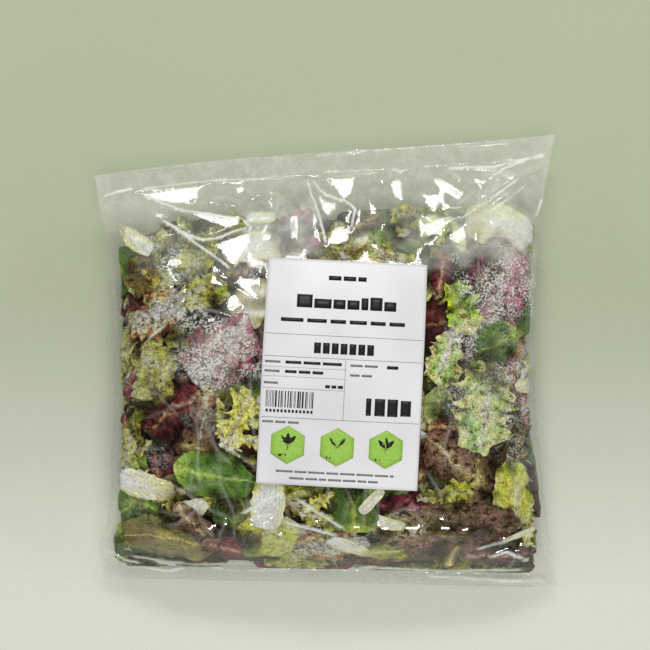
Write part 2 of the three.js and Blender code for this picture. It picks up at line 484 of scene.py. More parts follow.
# Creases that the photograph shows, as lines over places of the plan, each with its height
SHOWN_CREASES = [
    (1.3, [(-110, 105), (-87, 96), (-68, 92), (-50, 90), (-44, 85), (-46, 75), (-54, 59)]),
    (1.2, [(-98, 90), (-76, 75), (-54, 59)]),
    (1.2, [(-97, 89), (-81, 80), (-72, 77), (-63, 78), (-54, 82), (-44, 85)]),
    (1.3, [(-138, 102), (-126, 106), (-113, 109)]),
    (1.0, [(-112, 108), (-68, 114), (-24, 115), (-15, 118)]),
    (1.3, [(-11, 116), (-8, 103), (-3, 91), (1, 73)]),
    (1.2, [(-8, 116), (-3, 107), (1, 104), (12, 101), (18, 96), (15, 82)]),
    (1.0, [(3, 116), (34, 119)]),
    (1.0, [(34, 119), (34, 112)]),
    (1.2, [(65, 115), (76, 109), (81, 101)]),
    (1.0, [(74, 120), (81, 114), (78, 109)]),
    (1.2, [(72, 121), (102, 122), (136, 131)]),
    (1.2, [(96, 112), (106, 120), (121, 126), (136, 130)]),
    (1.3, [(125, 90), (131, 105)]),
    (1.1, [(78, 88), (100, 103), (118, 116)]),
    (1.0, [(82, 84), (104, 98), (123, 113)]),
    (1.1, [(57, 84), (66, 89), (78, 91)]),
    (1.0, [(-104, 18), (-91, 28)]),
    (1.2, [(-50, -83), (-38, -76), (-24, -69)]),
    (1.1, [(-45, -84), (-28, -83)]),
    (1.2, [(-18, -72), (-2, -82), (12, -92)]),
    (1.1, [(-25, -87), (-8, -91), (9, -96)]),
    (1.1, [(88, -106), (101, -102), (110, -101)]),
    (1.1, [(97, -112), (108, -108), (121, -113)]),
    (1.0, [(-118, -112), (-80, -118), (-46, -117)]),
    (1.2, [(-114, -120), (-96, -123), (-84, -121)]),
    (1.1, [(-104, -116), (-88, -119)]),
    (1.1, [(-132, -106), (-121, -115), (-110, -118)]),
    (1.0, [(-72, -120), (-52, -123), (-20, -122)]),
    (1.1, [(20, -119), (70, -122), (122, -121)]),
    (1.1, [(60, -126), (110, -129), (136, -129)]),
]
CREASE_WIDTH = 3.4
CREASE_PARTS = 3
CREASE_FADE = 1.5
OUTLINE_PART = 5.0
LOOSE_CREASES = {
    "count": 150, "height": (0.2, 0.8), "length": (12, 60), "width": (2.6, 4.2),
    "near_side": 60, "spread": 0.55, "turn": 0.3,
}

# Flat facets that the photograph shows, by their corners in the plan
FACET_HEM = 6.0
SHOWN_FACETS = [
    [(-106, 105), (-84, 98), (-77, 106), (-74, 110)],
    [(-80, 93), (-69, 89), (-54, 84), (-47, 86), (-50, 90), (-68, 92)],
    [(-66, 75), (-54, 61), (-47, 75), (-46, 83), (-54, 81), (-60, 77)],
    [(4, 115), (11, 102), (15, 105), (17, 115)],
    [(65, 115), (79, 101), (83, 107), (75, 110)],
    [(58, 86), (62, 80), (77, 90)],
]
# Painted highlight: film is painted white along its creases, by how high the crease stands, in place of the
# creases' highlights. Loose creases are painted fainter.
PAINTED_CREASE_HIGHLIGHT = {
    "from": 0.72, "per_mm": 2.2, "loose": 0.25, "half_width": 1.25, "core": 1.7,
    "patchy": 0.45, "patch": 7.0,
}
# The lamp that the shown facets catch, in metres, and where the bag is looked at from
BACK_LIGHT = (0.0, 0.95, 0.8)
VIEWER = {"above_fold": 0.95, "aim": (0, 27)}


def headspace(x, y):
    """One above the leaves, and zero over them."""
    line = lerp(HEADSPACE_FROM["left"], HEADSPACE_FROM["right"], across_top(x))
    return smoothstep(y, line - HEADSPACE_FROM["blend"], line + HEADSPACE_FROM["blend"])


def mirror_slope(x, y):
    """The slope of film that mirrors the back light straight up."""
    place = np.array([x, y, FOLD_HEIGHT + CROWN_RISE / 2])
    to_light = (np.array(BACK_LIGHT) - frame_low) / MM + plan_low - place
    to_viewer = np.array([*VIEWER["aim"], FOLD_HEIGHT + VIEWER["above_fold"] / MM]) - place
    half_way = to_light / np.linalg.norm(to_light) + to_viewer / np.linalg.norm(to_viewer)
    return -half_way[:2] / half_way[2]


def press_flat(points, corners):
    """The film's heights once a flat facet is pressed into it, with a hem round its outline."""
    x, y, z = points.T
    slope = mirror_slope(*corners.mean(axis=0))
    outside = np.full(len(points), -np.inf)
    turning = 0.0
    following = np.roll(corners, -1, axis=0)
    for (ax, ay), (bx, by) in zip(corners, following):
        turning += ax * by - bx * ay
    for (ax, ay), (bx, by) in zip(corners, following):
        side = ((x - ax) * (by - ay) - (y - ay) * (bx - ax)) / math.hypot(bx - ax, by - ay)
        outside = np.maximum(outside, side * np.sign(turning))
    middle = corners.mean(axis=0)
    held = outside <= 0
    level = z[held].mean() if held.any() else 0.0
    plane = level + slope[0] * (x - middle[0]) + slope[1] * (y - middle[1])
    share = 1 - smoothstep(outside, 0, FACET_HEM)
    return lerp(z, plane, share)


class Sheet:
    """The crown's film unrolled, in millimetres, with a mesh whose edges follow its creases."""

    size = np.array([WRAP.crown * COLUMN_MM, (WRAP.rows - 1) * ROW_MM])

    def __init__(self, shares):
        self.rng = np.random.default_rng([SEED, 1])
        self.shares = shares
        self.taken = np.zeros((self.size / CELL["size"]).astype(int) + CELL["spare"], bool)
        self.points, self.edges = [], []
        self.count = 0
        self.creases = self.all_creases()
        self.coarse = self.coarse_facets()

    def from_plan(self, x, y):
        row, column = WRAP.find(x, y)
        return np.array([column * COLUMN_MM, row * ROW_MM])

    def outline(self, corners):
        """A line of the plan on the unrolled film, in short parts."""
        parts = [corners[:1]]
        for start, end in zip(corners[:-1], corners[1:]):
            count = math.ceil(np.hypot(*(end - start)) / OUTLINE_PART)
            parts.append(start + (end - start) * np.linspace(0, 1, count + 1)[1:, None])
        return self.inside(np.array([self.from_plan(*place) for place in np.concatenate(parts)]))

    def inside(self, points):
        return np.clip(points, FILM["margin"], self.size - FILM["margin"])

    def all_creases(self):
        """Shown creases and seeded ones, which run up the bag, and across it near its side folds."""
        rows = []
        for height, line in SHOWN_CREASES:
            rows.append((self.outline(np.array(line, float)), height, CREASE_WIDTH))
        for _ in range(LOOSE_CREASES["count"]):
            at = self.rng.uniform(0, self.size)
            near_side = min(at[0], self.size[0] - at[0]) < LOOSE_CREASES["near_side"]
            angle = (0 if near_side else math.pi / 2) + self.rng.normal(0, LOOSE_CREASES["spread"])
            length = self.rng.uniform(*LOOSE_CREASES["length"])
            line = [at]
            for _ in range(CREASE_PARTS):
                at = at + np.array([math.cos(angle), math.sin(angle)]) * length / CREASE_PARTS
                angle += self.rng.normal(0, LOOSE_CREASES["turn"])
                line.append(at)
            height = self.rng.uniform(*LOOSE_CREASES["height"])
            width = self.rng.uniform(*LOOSE_CREASES["width"])
            if np.all((line[-1] > 0) & (line[-1] < self.size)):
                rows.append((self.inside(np.array(line)), height, width))
        return rows

    def coarse_facets(self):
        """Corners, levels and triangles of a crumpled sheet, over random points."""
        count = FACETS["count"]
        points = self.rng.uniform(0, self.size, (count, 2))
        crowd = self.rng.uniform(size=count) < FACETS["crowd"]
        points[crowd, 1] = self.size[1] - abs(self.rng.normal(0, FACETS["crowd_reach"], crowd.sum()))
        edge = [np.array([a, b]) * self.size for a in (0, 1) for b in (0, 1)]
        points = np.concatenate([self.inside(points), edge])
        found = delaunay_2d_cdt([Vector(p) for p in points], [], [], 0, NEAR, False)
        places = np.array(found[0])
        level = self.rng.uniform(-1, 1, len(places))
        return places, level, np.array(found[1]), np.array(found[2])

    def cell(self, points):
        return np.floor(points / CELL["size"]).astype(int)

    def mark(self, points):
        """Takes the cells near points, so that no later point comes there."""
        i, j = (self.cell(points) + CELL["edge"]).T
        for di in (-1, 0, 1):
            for dj in (-1, 0, 1):
                self.taken[i + di, j + dj] = True

    def add(self, points):
        self.points.append(points)
        self.count += len(points)

    def add_free(self, points):
        """Adds those points that are in free cells, one for each cell."""
        margin = FILM["free_margin"]
        points = points[np.all((points > margin) & (points < self.size - margin), axis=1)]
        i, j = (self.cell(points) + CELL["edge"]).T
        points = points[~self.taken[i, j]]
        _, first = np.unique(self.cell(points) @ (CELL["row_key"], 1), return_index=True)
        self.mark(points[first])
        self.add(points[first])

    def add_line(self, points):
        """Adds points joined by edges."""
        self.mark(points)
        first = self.count + np.arange(len(points) - 1)
        self.edges.append(np.stack([first, first + 1], axis=1))
        self.add(points)

    def line(self, start, end, step):
        count = max(int(np.hypot(*(end - start)) / step), 1) + 1
        return start + (end - start) * np.linspace(0, 1, count)[:, None]

    def lay_points(self):
        """Points round the edge, on the coarse facets' edges, along and beside creases, and between."""
        width, height = self.size
        up = self.shares * height
        across = np.linspace(0, width, BELLY_GRID["columns"] + 1)
        for x in (0, width):
            self.add_line(np.stack([np.full_like(up, x), up], axis=1))
        for y in (0, height):
            self.add_line(np.stack([across, np.full_like(across, y)], axis=1))
        places, _, edges, _ = self.coarse
        for a, b in edges:
            self.add_line(self.line(places[a], places[b], FILM["crest_step"])[1:-1])
        self.add(places)
        lines = [crease[0] for crease in self.creases]
        lines += [self.outline(np.array(corners + corners[:1], float)) for corners in SHOWN_FACETS]
        parts = [(start, end) for line in lines for start, end in zip(line[:-1], line[1:])]
        parts = [(start, end) for start, end in parts if np.hypot(*(end - start)) > CELL["size"]]
        for start, end in parts:
            self.add_line(self.line(start, end, FILM["crest_step"]))
        for start, end in parts:
            run = (end - start) / np.hypot(*(end - start))
            aside = np.array([-run[1], run[0]])
            crest = self.line(start, end, FILM["crest_step"])
            for away in FILM["beside"]:
                for sign in (-1, 1):
                    self.add_free(crest + aside * away * sign)
        step = FILM["step"]
        x, y = np.meshgrid(np.arange(step, width, step), np.arange(step, height, step))
        x = x + step / 2 * (np.arange(len(x)) % 2)[:, None]
        grid = np.stack([x.ravel(), y.ravel()], axis=1)
        self.add_free(grid + self.rng.uniform(-FILM["jitter"], FILM["jitter"], grid.shape))

    def crumple(self, points):
        """The coarse facets' level at each point."""
        places, level, _, triangles = self.coarse
        result = np.zeros(len(points))
        order = np.argsort(points[:, 0])
        sorted_x = points[order, 0]
        for triangle in triangles:
            a, b, c = places[triangle]
            low, high = np.min([a, b, c], axis=0), np.max([a, b, c], axis=0)
            first, last = np.searchsorted(sorted_x, [low[0] - NEAR, high[0] + NEAR])
            near = order[first:last]
            near = near[(points[near, 1] >= low[1] - NEAR) & (points[near, 1] <= high[1] + NEAR)]
            area = (b[0] - a[0]) * (c[1] - a[1]) - (c[0] - a[0]) * (b[1] - a[1])
            dx, dy = points[near, 0] - a[0], points[near, 1] - a[1]
            to_b = (dx * (c[1] - a[1]) - dy * (c[0] - a[0])) / area
            to_c = (dy * (b[0] - a[0]) - dx * (b[1] - a[1])) / area
            hit = (to_b >= -NEAR) & (to_c >= -NEAR) & (to_b + to_c <= 1 + NEAR)
            la, lb, lc = level[triangle]
            result[near[hit]] = la + (lb - la) * to_b[hit] + (lc - la) * to_c[hit]
        return result

    def painted_highlight(self, height):
        """How white a crease of that height is painted, as a painted highlight."""
        if height > PAINTED_CREASE_HIGHLIGHT["from"] + PAINTED_CREASE_HIGHLIGHT["loose"] / PAINTED_CREASE_HIGHLIGHT["per_mm"]:
            return (height - PAINTED_CREASE_HIGHLIGHT["from"]) * PAINTED_CREASE_HIGHLIGHT["per_mm"]
        return PAINTED_CREASE_HIGHLIGHT["loose"] * height

    def ridges(self, points):
        """Crests with a sharp top and hollow sides, that fade at their ends, and how white they are painted,
        as painted highlights.
        """
        total = np.zeros(len(points))
        white = np.zeros(len(points))
        patchy = value_noise(self.rng, points[:, 0], points[:, 1], PAINTED_CREASE_HIGHLIGHT["patch"])
        patchy = 1 + PAINTED_CREASE_HIGHLIGHT["patchy"] * patchy
        for line, height, width in self.creases:
            low, high = line.min(axis=0) - width, line.max(axis=0) + width
            near = np.flatnonzero(np.all((points > low) & (points < high), axis=1))
            best, line_highlight = np.zeros(len(near)), np.zeros(len(near))
            strength = self.painted_highlight(height)
            full_length = np.hypot(*np.diff(line, axis=0).T).sum()
            walked = 0.0
            for start, end in zip(line[:-1], line[1:]):
                run = end - start
                length = np.hypot(*run)
                t = np.clip((points[near] - start) @ run / length**2, 0, 1)
                aside = np.hypot(*(points[near] - start - t[:, None] * run).T)
                at = walked + t * length
                fade = smoothstep(np.minimum(at, full_length - at), 0, CREASE_FADE * width)
                best = np.maximum(best, np.clip(1 - aside / width, 0, 1) ** 2 * fade)
                near_crest = PAINTED_CREASE_HIGHLIGHT["core"] * (1 - aside / PAINTED_CREASE_HIGHLIGHT["half_width"])
                line_highlight = np.maximum(line_highlight, np.clip(near_crest, 0, 1) * fade)
                walked += length
            total[near] += height * best
            white[near] = np.maximum(white[near], strength * line_highlight * patchy[near])
        return total, np.clip(white, 0, 1)

    def make(self):
        """Points of the creased film, its triangles, how misted each point is and how white its creases are
        painted as highlights.
        """
        self.lay_points()
        given = np.concatenate(self.points)
        edges = np.concatenate(self.edges)
        found = delaunay_2d_cdt([Vector(p) for p in given], edges.tolist(), [], 0, SAME_POINT, False)
        flat = np.array(found[0])
        triangles = np.array(found[2], np.int32)
        column, row = flat[:, 0] / COLUMN_MM, flat[:, 1] / ROW_MM
        share = np.clip(row / (WRAP.rows - 1), 0, 1)
        left, right = sides(share)
        x = np.clip(WRAP.sample(WRAP.points[..., 0], row, column), left, right)
        x[column < ON_FOLD] = left[column < ON_FOLD]
        x[column > WRAP.crown - ON_FOLD] = right[column > WRAP.crown - ON_FOLD]
        upper, _, fold = heights(x, share)
        y = lerp(bottom_edge(x), top_edge(x), share)
        _, from_bottom, from_top = fullness(x, share)
        from_end = np.minimum(from_bottom + SEAL_STRIP["bottom"], from_top + SEAL_STRIP["top"])
        height = lerp(fold, upper, smoothstep(from_end, 0, SEAL_STRIP["bottom"]))
        points = np.stack([x, y, height], axis=1)
        normal = mesh_normals(points, triangles)
        from_seal = np.minimum(from_bottom, from_top)
        from_fold = np.minimum(column, WRAP.crown - column) * COLUMN_MM
        size = lerp(FACETS["pillow"], FACETS["headspace"], headspace(x, y))
        rise, white = self.ridges(flat)
        total = self.crumple(flat) * size + rise
        total *= smoothstep(outside_label(x, y), 0, CALM["label"])
        total *= lerp(STRIP_CREASE, 1, smoothstep(from_seal, 0, CALM["seal"]))
        total *= smoothstep(from_fold, 0, CALM["fold"]) * smoothstep(from_end, 0, CALM["end"])
        points = points + normal * total[:, None]
        for corners in SHOWN_FACETS:
            points[:, 2] = press_flat(points, np.array(corners, float))
        misted_and_painted = mist_with_painted_light(x, y)
        # Painted highlight: the white painted along the creases is the third part of the misting
        misted_and_painted[:, 2] = white * smoothstep(from_end, 0, CALM["end"])
        return points, triangles, misted_and_painted


def unit(vectors):
    return vectors / np.maximum(np.linalg.norm(vectors, axis=-1, keepdims=True), NO_LENGTH)


def mesh_normals(points, triangles):
    a, b, c = (points[triangles[:, k]] for k in range(3))
    normal = np.zeros_like(points)
    for k in range(3):
        np.add.at(normal, triangles[:, k], np.cross(b - a, c - a))
    return unit(normal)


def grid_normals(points):
    """Unit normals of a table of points; they point up over a table that runs right and up."""
    return unit(np.cross(np.gradient(points, axis=1), np.gradient(points, axis=0)))


# The inner side of the film is misted, in parts: frost, haze with painted sheen and painted light, and white
# painted along creases as highlights
BELLY_MIST = (0.15, 0.02, 0)
WELD = 0.00002
# Patches: the place of the plan, the radius and the strength
FROST_PATCHES = [
    ((-90, 63), 15, 0.8),
    ((-75, 33), 12, 0.7),
    ((-59, 13), 25, 0.9),
    ((-43, 60), 9, 0.7),
    ((-80, 8), 12, 0.5),
    ((-102, -3), 12, 0.12),
    ((-98, -52), 10, 0.3),
    ((-112, -82), 16, 0.15),
    ((-22, 86), 18, 0.4),
    ((103, 47), 30, 0.9),
    ((80, 18), 13, 0.7),
    ((95, -23), 26, 0.6),
    ((110, 0), 12, 0.8),
    ((106, 78), 18, 0.6),
    ((79, 66), 12, 0.6),
    ((112, -45), 12, 0.5),
    ((-66, -26), 14, 0.3),
]
HAZE_PATCHES = [
    ((-27, 84), 36, 0.46),
    ((-50, 72), 26, 0.2),
    ((-78, 84), 32, 0.18),
    ((-108, 80), 22, 0.18),
    ((-44, 42), 18, 0.2),
    ((100, 92), 38, 0.44),
    ((126, 60), 18, 0.25),
    ((124, 10), 15, 0.2),
    ((60, 84), 26, 0.25),
    ((22, 88), 26, 0.18),
    ((-60, 14), 18, 0.15),
    ((100, -5), 26, 0.06),
    ((124, -60), 14, 0.12),
]
PATCH_EDGE = {"pitch": 9, "waver": 0.35, "full_to": 0.35, "none_from": 1.15}
# Haze in the headspace, with a painted sheen in place of the film's reflection of the room
HEADSPACE_HAZE_AND_SHEEN = 0.28
# Painted sheen along the side folds, where the film turns away: its share and its reach in millimetres
FOLD_PAINTED_SHEEN = {"share": 0.16, "reach": 4.5}
# Haze on the seal strips, with painted light that lifts the bag's shadow there: shares at each end, and how
# far over and how softly it reaches
STRIP_HAZE_AND_LIGHT = {"bottom": 0.03, "top": 0.06, "over": 2, "blend": 4}
# The film's look: noise by scale, detail and roughness, and spans from noise to strength
FILM_GLOSS = {"rim_power": 4.0, "gloss": (0.04, 0.7), "roughness": 0.06}
FILM_NOISE = {"grains": (760.0, 5.0, 0.75), "clouds": (150.0, 5.0, 0.75), "drift": (110.0, 5.0, 0.7)}
FILM_SPAN = {"grains": (0.46, 0.56, 0.02, 1.0), "clouds": (0.4, 0.53), "drift": (0.36, 0.64, 0.7, 1.25)}
MIST_WHITE = (0.95, 0.98, 0.88, 1)
MIST_THROUGH = 0.2
CLEAR = (1, 1, 1, 1)


def spots(x, y, patches, rng):
    """How strong the patches are at a place, from 0 to 1."""
    total = np.zeros_like(x)
    for (cx, cy), radius, strength in patches:
        waver = value_noise(rng, x, y, PATCH_EDGE["pitch"]) * radius * PATCH_EDGE["waver"]
        away = np.hypot(x - cx, y - cy) + waver
        faded = smoothstep(away, radius * PATCH_EDGE["full_to"], radius * PATCH_EDGE["none_from"])
        total = np.maximum(total, strength * (1 - faded))
    return total


def mist_with_painted_light(x, y):
    """How misted the film is, with frost and haze, and with painted sheen in the headspace and along the
    folds and painted light on the seal strips.
    """
    rng = np.random.default_rng([SEED, 3])
    frost = spots(x, y, FROST_PATCHES, rng)
    left, right = sides(np.clip(share_along(x, y), 0, 1))
    from_fold = np.minimum(x - left, right - x)
    # Painted sheen in the headspace and along the side folds, and painted light on the seal strips, join the
    # haze patches
    haze_and_painted_light = np.maximum(spots(x, y, HAZE_PATCHES, rng), HEADSPACE_HAZE_AND_SHEEN * headspace(x, y))
    haze_and_painted_light = np.maximum(haze_and_painted_light, FOLD_PAINTED_SHEEN["share"] * np.exp(-from_fold / FOLD_PAINTED_SHEEN["reach"]))
    over, blend = STRIP_HAZE_AND_LIGHT["over"], STRIP_HAZE_AND_LIGHT["blend"]
    bottom_strip = smoothstep(bottom_edge(x) + SEAL_STRIP["bottom"] + over - y, 0, blend)
    top_strip = smoothstep(y - top_edge(x) + SEAL_STRIP["top"], 0, blend)
    strips = np.maximum(STRIP_HAZE_AND_LIGHT["bottom"] * bottom_strip, STRIP_HAZE_AND_LIGHT["top"] * top_strip)
    return np.stack([frost, np.maximum(haze_and_painted_light, strips), np.zeros_like(x)], axis=-1)


def film_material():
    """Clear glossy film, veiled where it is misted, with painted sheen and painted light in its haze, and
    painted white along creases as highlights.
    """
    nodes = Nodes("film")
    place = nodes.place()
    film = nodes.clear_gloss(CLEAR, **FILM_GLOSS)
    misted_and_painted = nodes.add("ShaderNodeSeparateColor", {"Color": nodes.attribute("MistAndPaintedLight")})
    grains, clouds, drift = (
        nodes.span(nodes.noise(place, *FILM_NOISE[name]), *FILM_SPAN[name]) for name in FILM_NOISE
    )
    frost = nodes.math("MULTIPLY", nodes.math("MULTIPLY", grains, clouds), misted_and_painted.outputs["Red"])
    haze_and_painted_light = nodes.math("MULTIPLY", misted_and_painted.outputs["Green"], drift)
    # The veiling holds frost, haze with its painted sheen and light, and the painted crease highlights
    veil_and_painted_light = nodes.math("MAXIMUM", nodes.math("MAXIMUM", frost, haze_and_painted_light), misted_and_painted.outputs["Blue"])
    diffuse = nodes.add("ShaderNodeBsdfDiffuse", {"Color": MIST_WHITE})
    through = nodes.add("ShaderNodeBsdfTranslucent", {"Color": MIST_WHITE})
    wet = nodes.blend(MIST_THROUGH, diffuse.outputs[0], through.outputs[0])
    return nodes.finish(nodes.blend(veil_and_painted_light, film, wet))


def make_belly(shares):
    """The film's underside, as a grid from the left fold to the right one."""
    rng = np.random.default_rng([SEED, 2])
    points = plan_grid(shares, BELLY_GRID["columns"], 1)
    x, y = points[..., 0], points[..., 1]
    size = lerp(BELLY_GRID["under_leaves"], BELLY_GRID["headspace"], headspace(x, y))
    share = np.broadcast_to(shares[:, None], x.shape)
    _, from_bottom, from_top = fullness(x, share)
    left, right = sides(share)
    open_film = smoothstep(np.minimum(from_bottom, from_top), 0, CALM["seal"])
    open_film = open_film * smoothstep(np.minimum(x - left, right - x), 0, CALM["fold"])
    total = folds(rng, x, y, BELLY_GRID["folds"]) * size * open_film
    points = points - grid_normals(points) * total[..., None]
    points[..., 2] = np.maximum(points[..., 2], 0)
    from_end = np.minimum(from_bottom + SEAL_STRIP["bottom"], from_top + SEAL_STRIP["top"])
    fold = fold_line(x, share)
    points[..., 2] = lerp(fold, points[..., 2], smoothstep(from_end, 0, SEAL_STRIP["bottom"]))
    columns = x.shape[1]
    a, b = cells(*x.shape)
    first = np.stack([a, a + columns, b + columns], axis=1)
    second = np.stack([a, b + columns, b], axis=1)
    return points.reshape(-1, 3), np.concatenate([first, second])


def make_film():
    """The crown and the belly, joined along the side folds and the ends."""
    shares = np.linspace(0, 1, BELLY_GRID["rows"] + 1)
    crown, crown_faces, misted_and_painted = Sheet(shares).make()
    belly, belly_faces = make_belly(shares)
    faces = np.concatenate([crown_faces, belly_faces + len(crown)])
    piece = new_mesh("film", np.concatenate([crown, belly]), faces, film_material())
    misted_and_painted = np.concatenate([misted_and_painted, np.tile(BELLY_MIST, (len(belly), 1))])
    colour_layer(piece, "MistAndPaintedLight", misted_and_painted)
    mesh = bmesh.new()
    mesh.from_mesh(piece.data)
    bmesh.ops.remove_doubles(mesh, verts=mesh.verts, dist=WELD)
    mesh.to_mesh(piece.data)
    mesh.free()
    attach(piece, "root")
    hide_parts("bag")
    return piece


# Label and its print
LABEL_STEPS = (48, 66)
PAPER = {"white": (238, 237, 239), "grey": (226, 224, 228), "roughness": 0.42}
PAPER_CLOUD = {"noise": (16.0, 2.0), "span": (0.35, 0.65)}
PAPER_GRAIN = {"noise": (2600.0, 3.0, 0.7), "strength": 0.12, "distance": 0.0001}
INKS = {"black": (38, 36, 40), "grey": (128, 126, 130), "green": (160, 204, 88)}
INK_ROUGHNESS = 0.45
INK_PATCH = {"noise": (700.0, 2.0), "span": (0.3, 0.7, 0.9, 1.06)}
PRINT_LIFT = 0.05
PRINT_THICKNESS = 0.03
PRINT_STEP = 3
BLOB_RINGS = (0.004, 0.35, 0.7, 1.0)
LEAF_SHAPE = {"points": 28, "waist": 0.25}
HEXAGON_POINTS = 48

# The print's layout, in millimetres from the label's left side and top
# Rows of bars as long as words: ink, left, down, width, height, seed, word lengths and gap
WORD_ROWS = [
    ("black", 36, 10.5, 22, 2.6, 1, (6, 9), 1.3),
    ("black", 9.5, 35.8, 76, 2.2, 3, (8, 17), 2.2),
    ("grey", 1.6, 60.4, 10.5, 1.3, 10, (6, 10), 1.3),
    ("grey", 1.6, 65.8, 10.5, 1.3, 11, (6, 10), 1.3),
    ("grey", 1.6, 72.6, 10.5, 1.3, 12, (6, 10), 1.3),
    ("black", 13.5, 60.4, 34, 1.7, 20, (8, 14), 1.3),
    ("black", 13.5, 65.8, 25, 1.7, 21, (5, 10), 1.3),
    ("black", 37, 73.4, 10.5, 1.8, 22, (2.6, 3), 0.9),
    ("grey", 51, 60.6, 17, 1.3, 23, (5, 8), 1.3),
    ("grey", 51, 66.2, 14, 1.3, 24, (5, 8), 1.3),
    ("grey", 1.8, 95, 23, 1.3, 30, (5, 9), 1.3),
    ("grey", 11, 123.2, 68, 1.2, 31, (4, 10), 1.0),
    ("grey", 19, 127, 51, 1.2, 32, (4, 10), 1.0),
]
# Single bars, and the large figure spot as four plain blocks: ink, left, down, width and height
BARS = [
    ("grey", 1, 44.2, 91, 0.28),
    ("grey", 1, 57.2, 91, 0.28),
    ("grey", 1, 92.4, 91, 0.28),
    ("grey", 1, 63.3, 47, 0.2),
    ("grey", 1, 68.7, 47, 0.2),
    ("grey", 1, 75.5, 47, 0.2),
    ("grey", 48, 75, 0.25, 35),
    ("black", 72, 60.8, 6.5, 1.9),
    ("black", 61, 84, 3, 10),
    ("black", 66, 84, 6, 10),
    ("black", 73.4, 84, 6, 10),
    ("black", 81, 84, 6, 9),
]
# The large title, as blocks of these lengths and heights that stand on one line
TITLE = {
    "left": 18.2, "foot": 28.4, "gap": 1.1,
    "blocks": [(9, 7.6), (10, 5.4), (7, 5.4), (7, 5.4), (4, 7), (7, 7.6), (7, 5.4)],
}
# Rows of like blocks: how many, left, pitch, down, width and height
BLOCK_ROWS = {
    "second_title": (7, 29.5, 5.1, 51.4, 3.9, 6.2),
    "under_stripes": (13, 3.4, 2.15, 88.6, 1.3, 1.7),
}
STRIPES = {
    "left": 3.2, "right": 30.5, "down": 81.8, "height": 9.6, "seed": 50,
    "widths": [0.33, 0.33, 0.66, 0.99], "gaps": [0.33, 0.66, 0.66, 0.99],
}
# Three hexagons, each with leaves that lean out of one stem, over a short row of words
BADGE = {
    "middles": (17.1, 45.6, 73.7), "down": 108, "radius": 11.2,
    "leaves": 3, "lean": 0.75, "reach": (3.4, 3.0), "leaf_down": 107.2, "leaf": (3.3, 1.5),
    "stem_down": 109.4, "stem": (0.8, 3.4),
    "words": {"down": 114, "width": 12, "height": 1.5, "seed": 60, "lengths": (4, 6), "gap": 1.3},
}


def crown_height(x, y):
    share = share_along(x, y)
    return heights(x, share)[0]


def on_label(right, down, lift):
    """A place of the label, in millimetres from its top left corner, raised above the film."""
    across, along = right - LABEL["width"] / 2, LABEL["height"] / 2 - down
    cosine, sine = math.cos(LABEL["turn"]), math.sin(LABEL["turn"])
    x = LABEL["centre"][0] + across * cosine - along * sine
    y = LABEL["centre"][1] + across * sine + along * cosine
    return np.stack([x, y, crown_height(x, y) + LABEL["clearance"] + lift], axis=-1)


def slab(low, high, closed=False):
    """Points and quads of a thin solid between two like tables of points."""
    rows, columns = low.shape[:2]
    layer = rows * columns
    a, b = cells(rows, columns, closed)
    under = np.stack([a, a + columns, b + columns, b], axis=1)
    over = np.stack([a, b, b + columns, a + columns], axis=1) + layer
    quads = [under, over]
    span = len(a) // (rows - 1)
    near, near_next = a[:span], b[:span]
    far, far_next = near + (rows - 1) * columns, near_next + (rows - 1) * columns
    quads.append(np.stack([near, near_next, near_next + layer, near + layer], axis=1))
    quads.append(np.stack([far_next, far, far + layer, far_next + layer], axis=1))
    if not closed:
        left = np.arange(rows - 1) * columns
        right = left + columns - 1
        quads.append(np.stack([left + columns, left, left + layer, left + columns + layer], axis=1))
        quads.append(np.stack([right, right + columns, right + columns + layer, right + layer], axis=1))
    points = np.concatenate([low.reshape(-1, 3), high.reshape(-1, 3)])
    return points, np.concatenate(quads)


class Heap:
    """Collects many small solids into the mesh of one piece."""

    def __init__(self):
        self.points, self.quads, self.colours, self.places = [], [], [], []
        self.count = 0

    def take(self, points, quads, colours=None, places=None):
        self.points.append(points)
        self.quads.append(quads + self.count)
        self.count += len(points)
        if colours is not None:
            self.colours.append(colours)
        if places is not None:
            self.places.append(places)

    def make(self, name, material):
        piece = new_mesh(name, np.concatenate(self.points), np.concatenate(self.quads), material)
        if self.colours:
            colour_layer(piece, "Tint", np.concatenate(self.colours))
        if self.places:
            uv_layer(piece, np.concatenate(self.places))
        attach(piece, "root")
        return piece


def make_label():
    down, right = np.meshgrid(
        np.linspace(0, LABEL["height"], LABEL_STEPS[1]),
        np.linspace(0, LABEL["width"], LABEL_STEPS[0]),
        indexing="ij",
    )
    low = on_label(right, down, 0)[::-1]
    high = on_label(right, down, LABEL["thickness"])[::-1]
    nodes = Nodes("paper")
    place = nodes.place()
    cloud = nodes.span(nodes.noise(place, *PAPER_CLOUD["noise"]), *PAPER_CLOUD["span"])
    tint = nodes.mix(cloud, screen_colour(PAPER["grey"]), screen_colour(PAPER["white"]))
    grain = nodes.noise(place, *PAPER_GRAIN["noise"])
    bump = nodes.bump(grain, PAPER_GRAIN["strength"], PAPER_GRAIN["distance"])
    inputs = {"Base Color": tint, "Roughness": PAPER["roughness"], "Normal": bump}
    paper = nodes.add("ShaderNodeBsdfPrincipled", inputs)
    heap = Heap()
    heap.take(*slab(low, high))
    piece = heap.make("label_paper", nodes.finish(paper.outputs[0]))
    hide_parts("label")


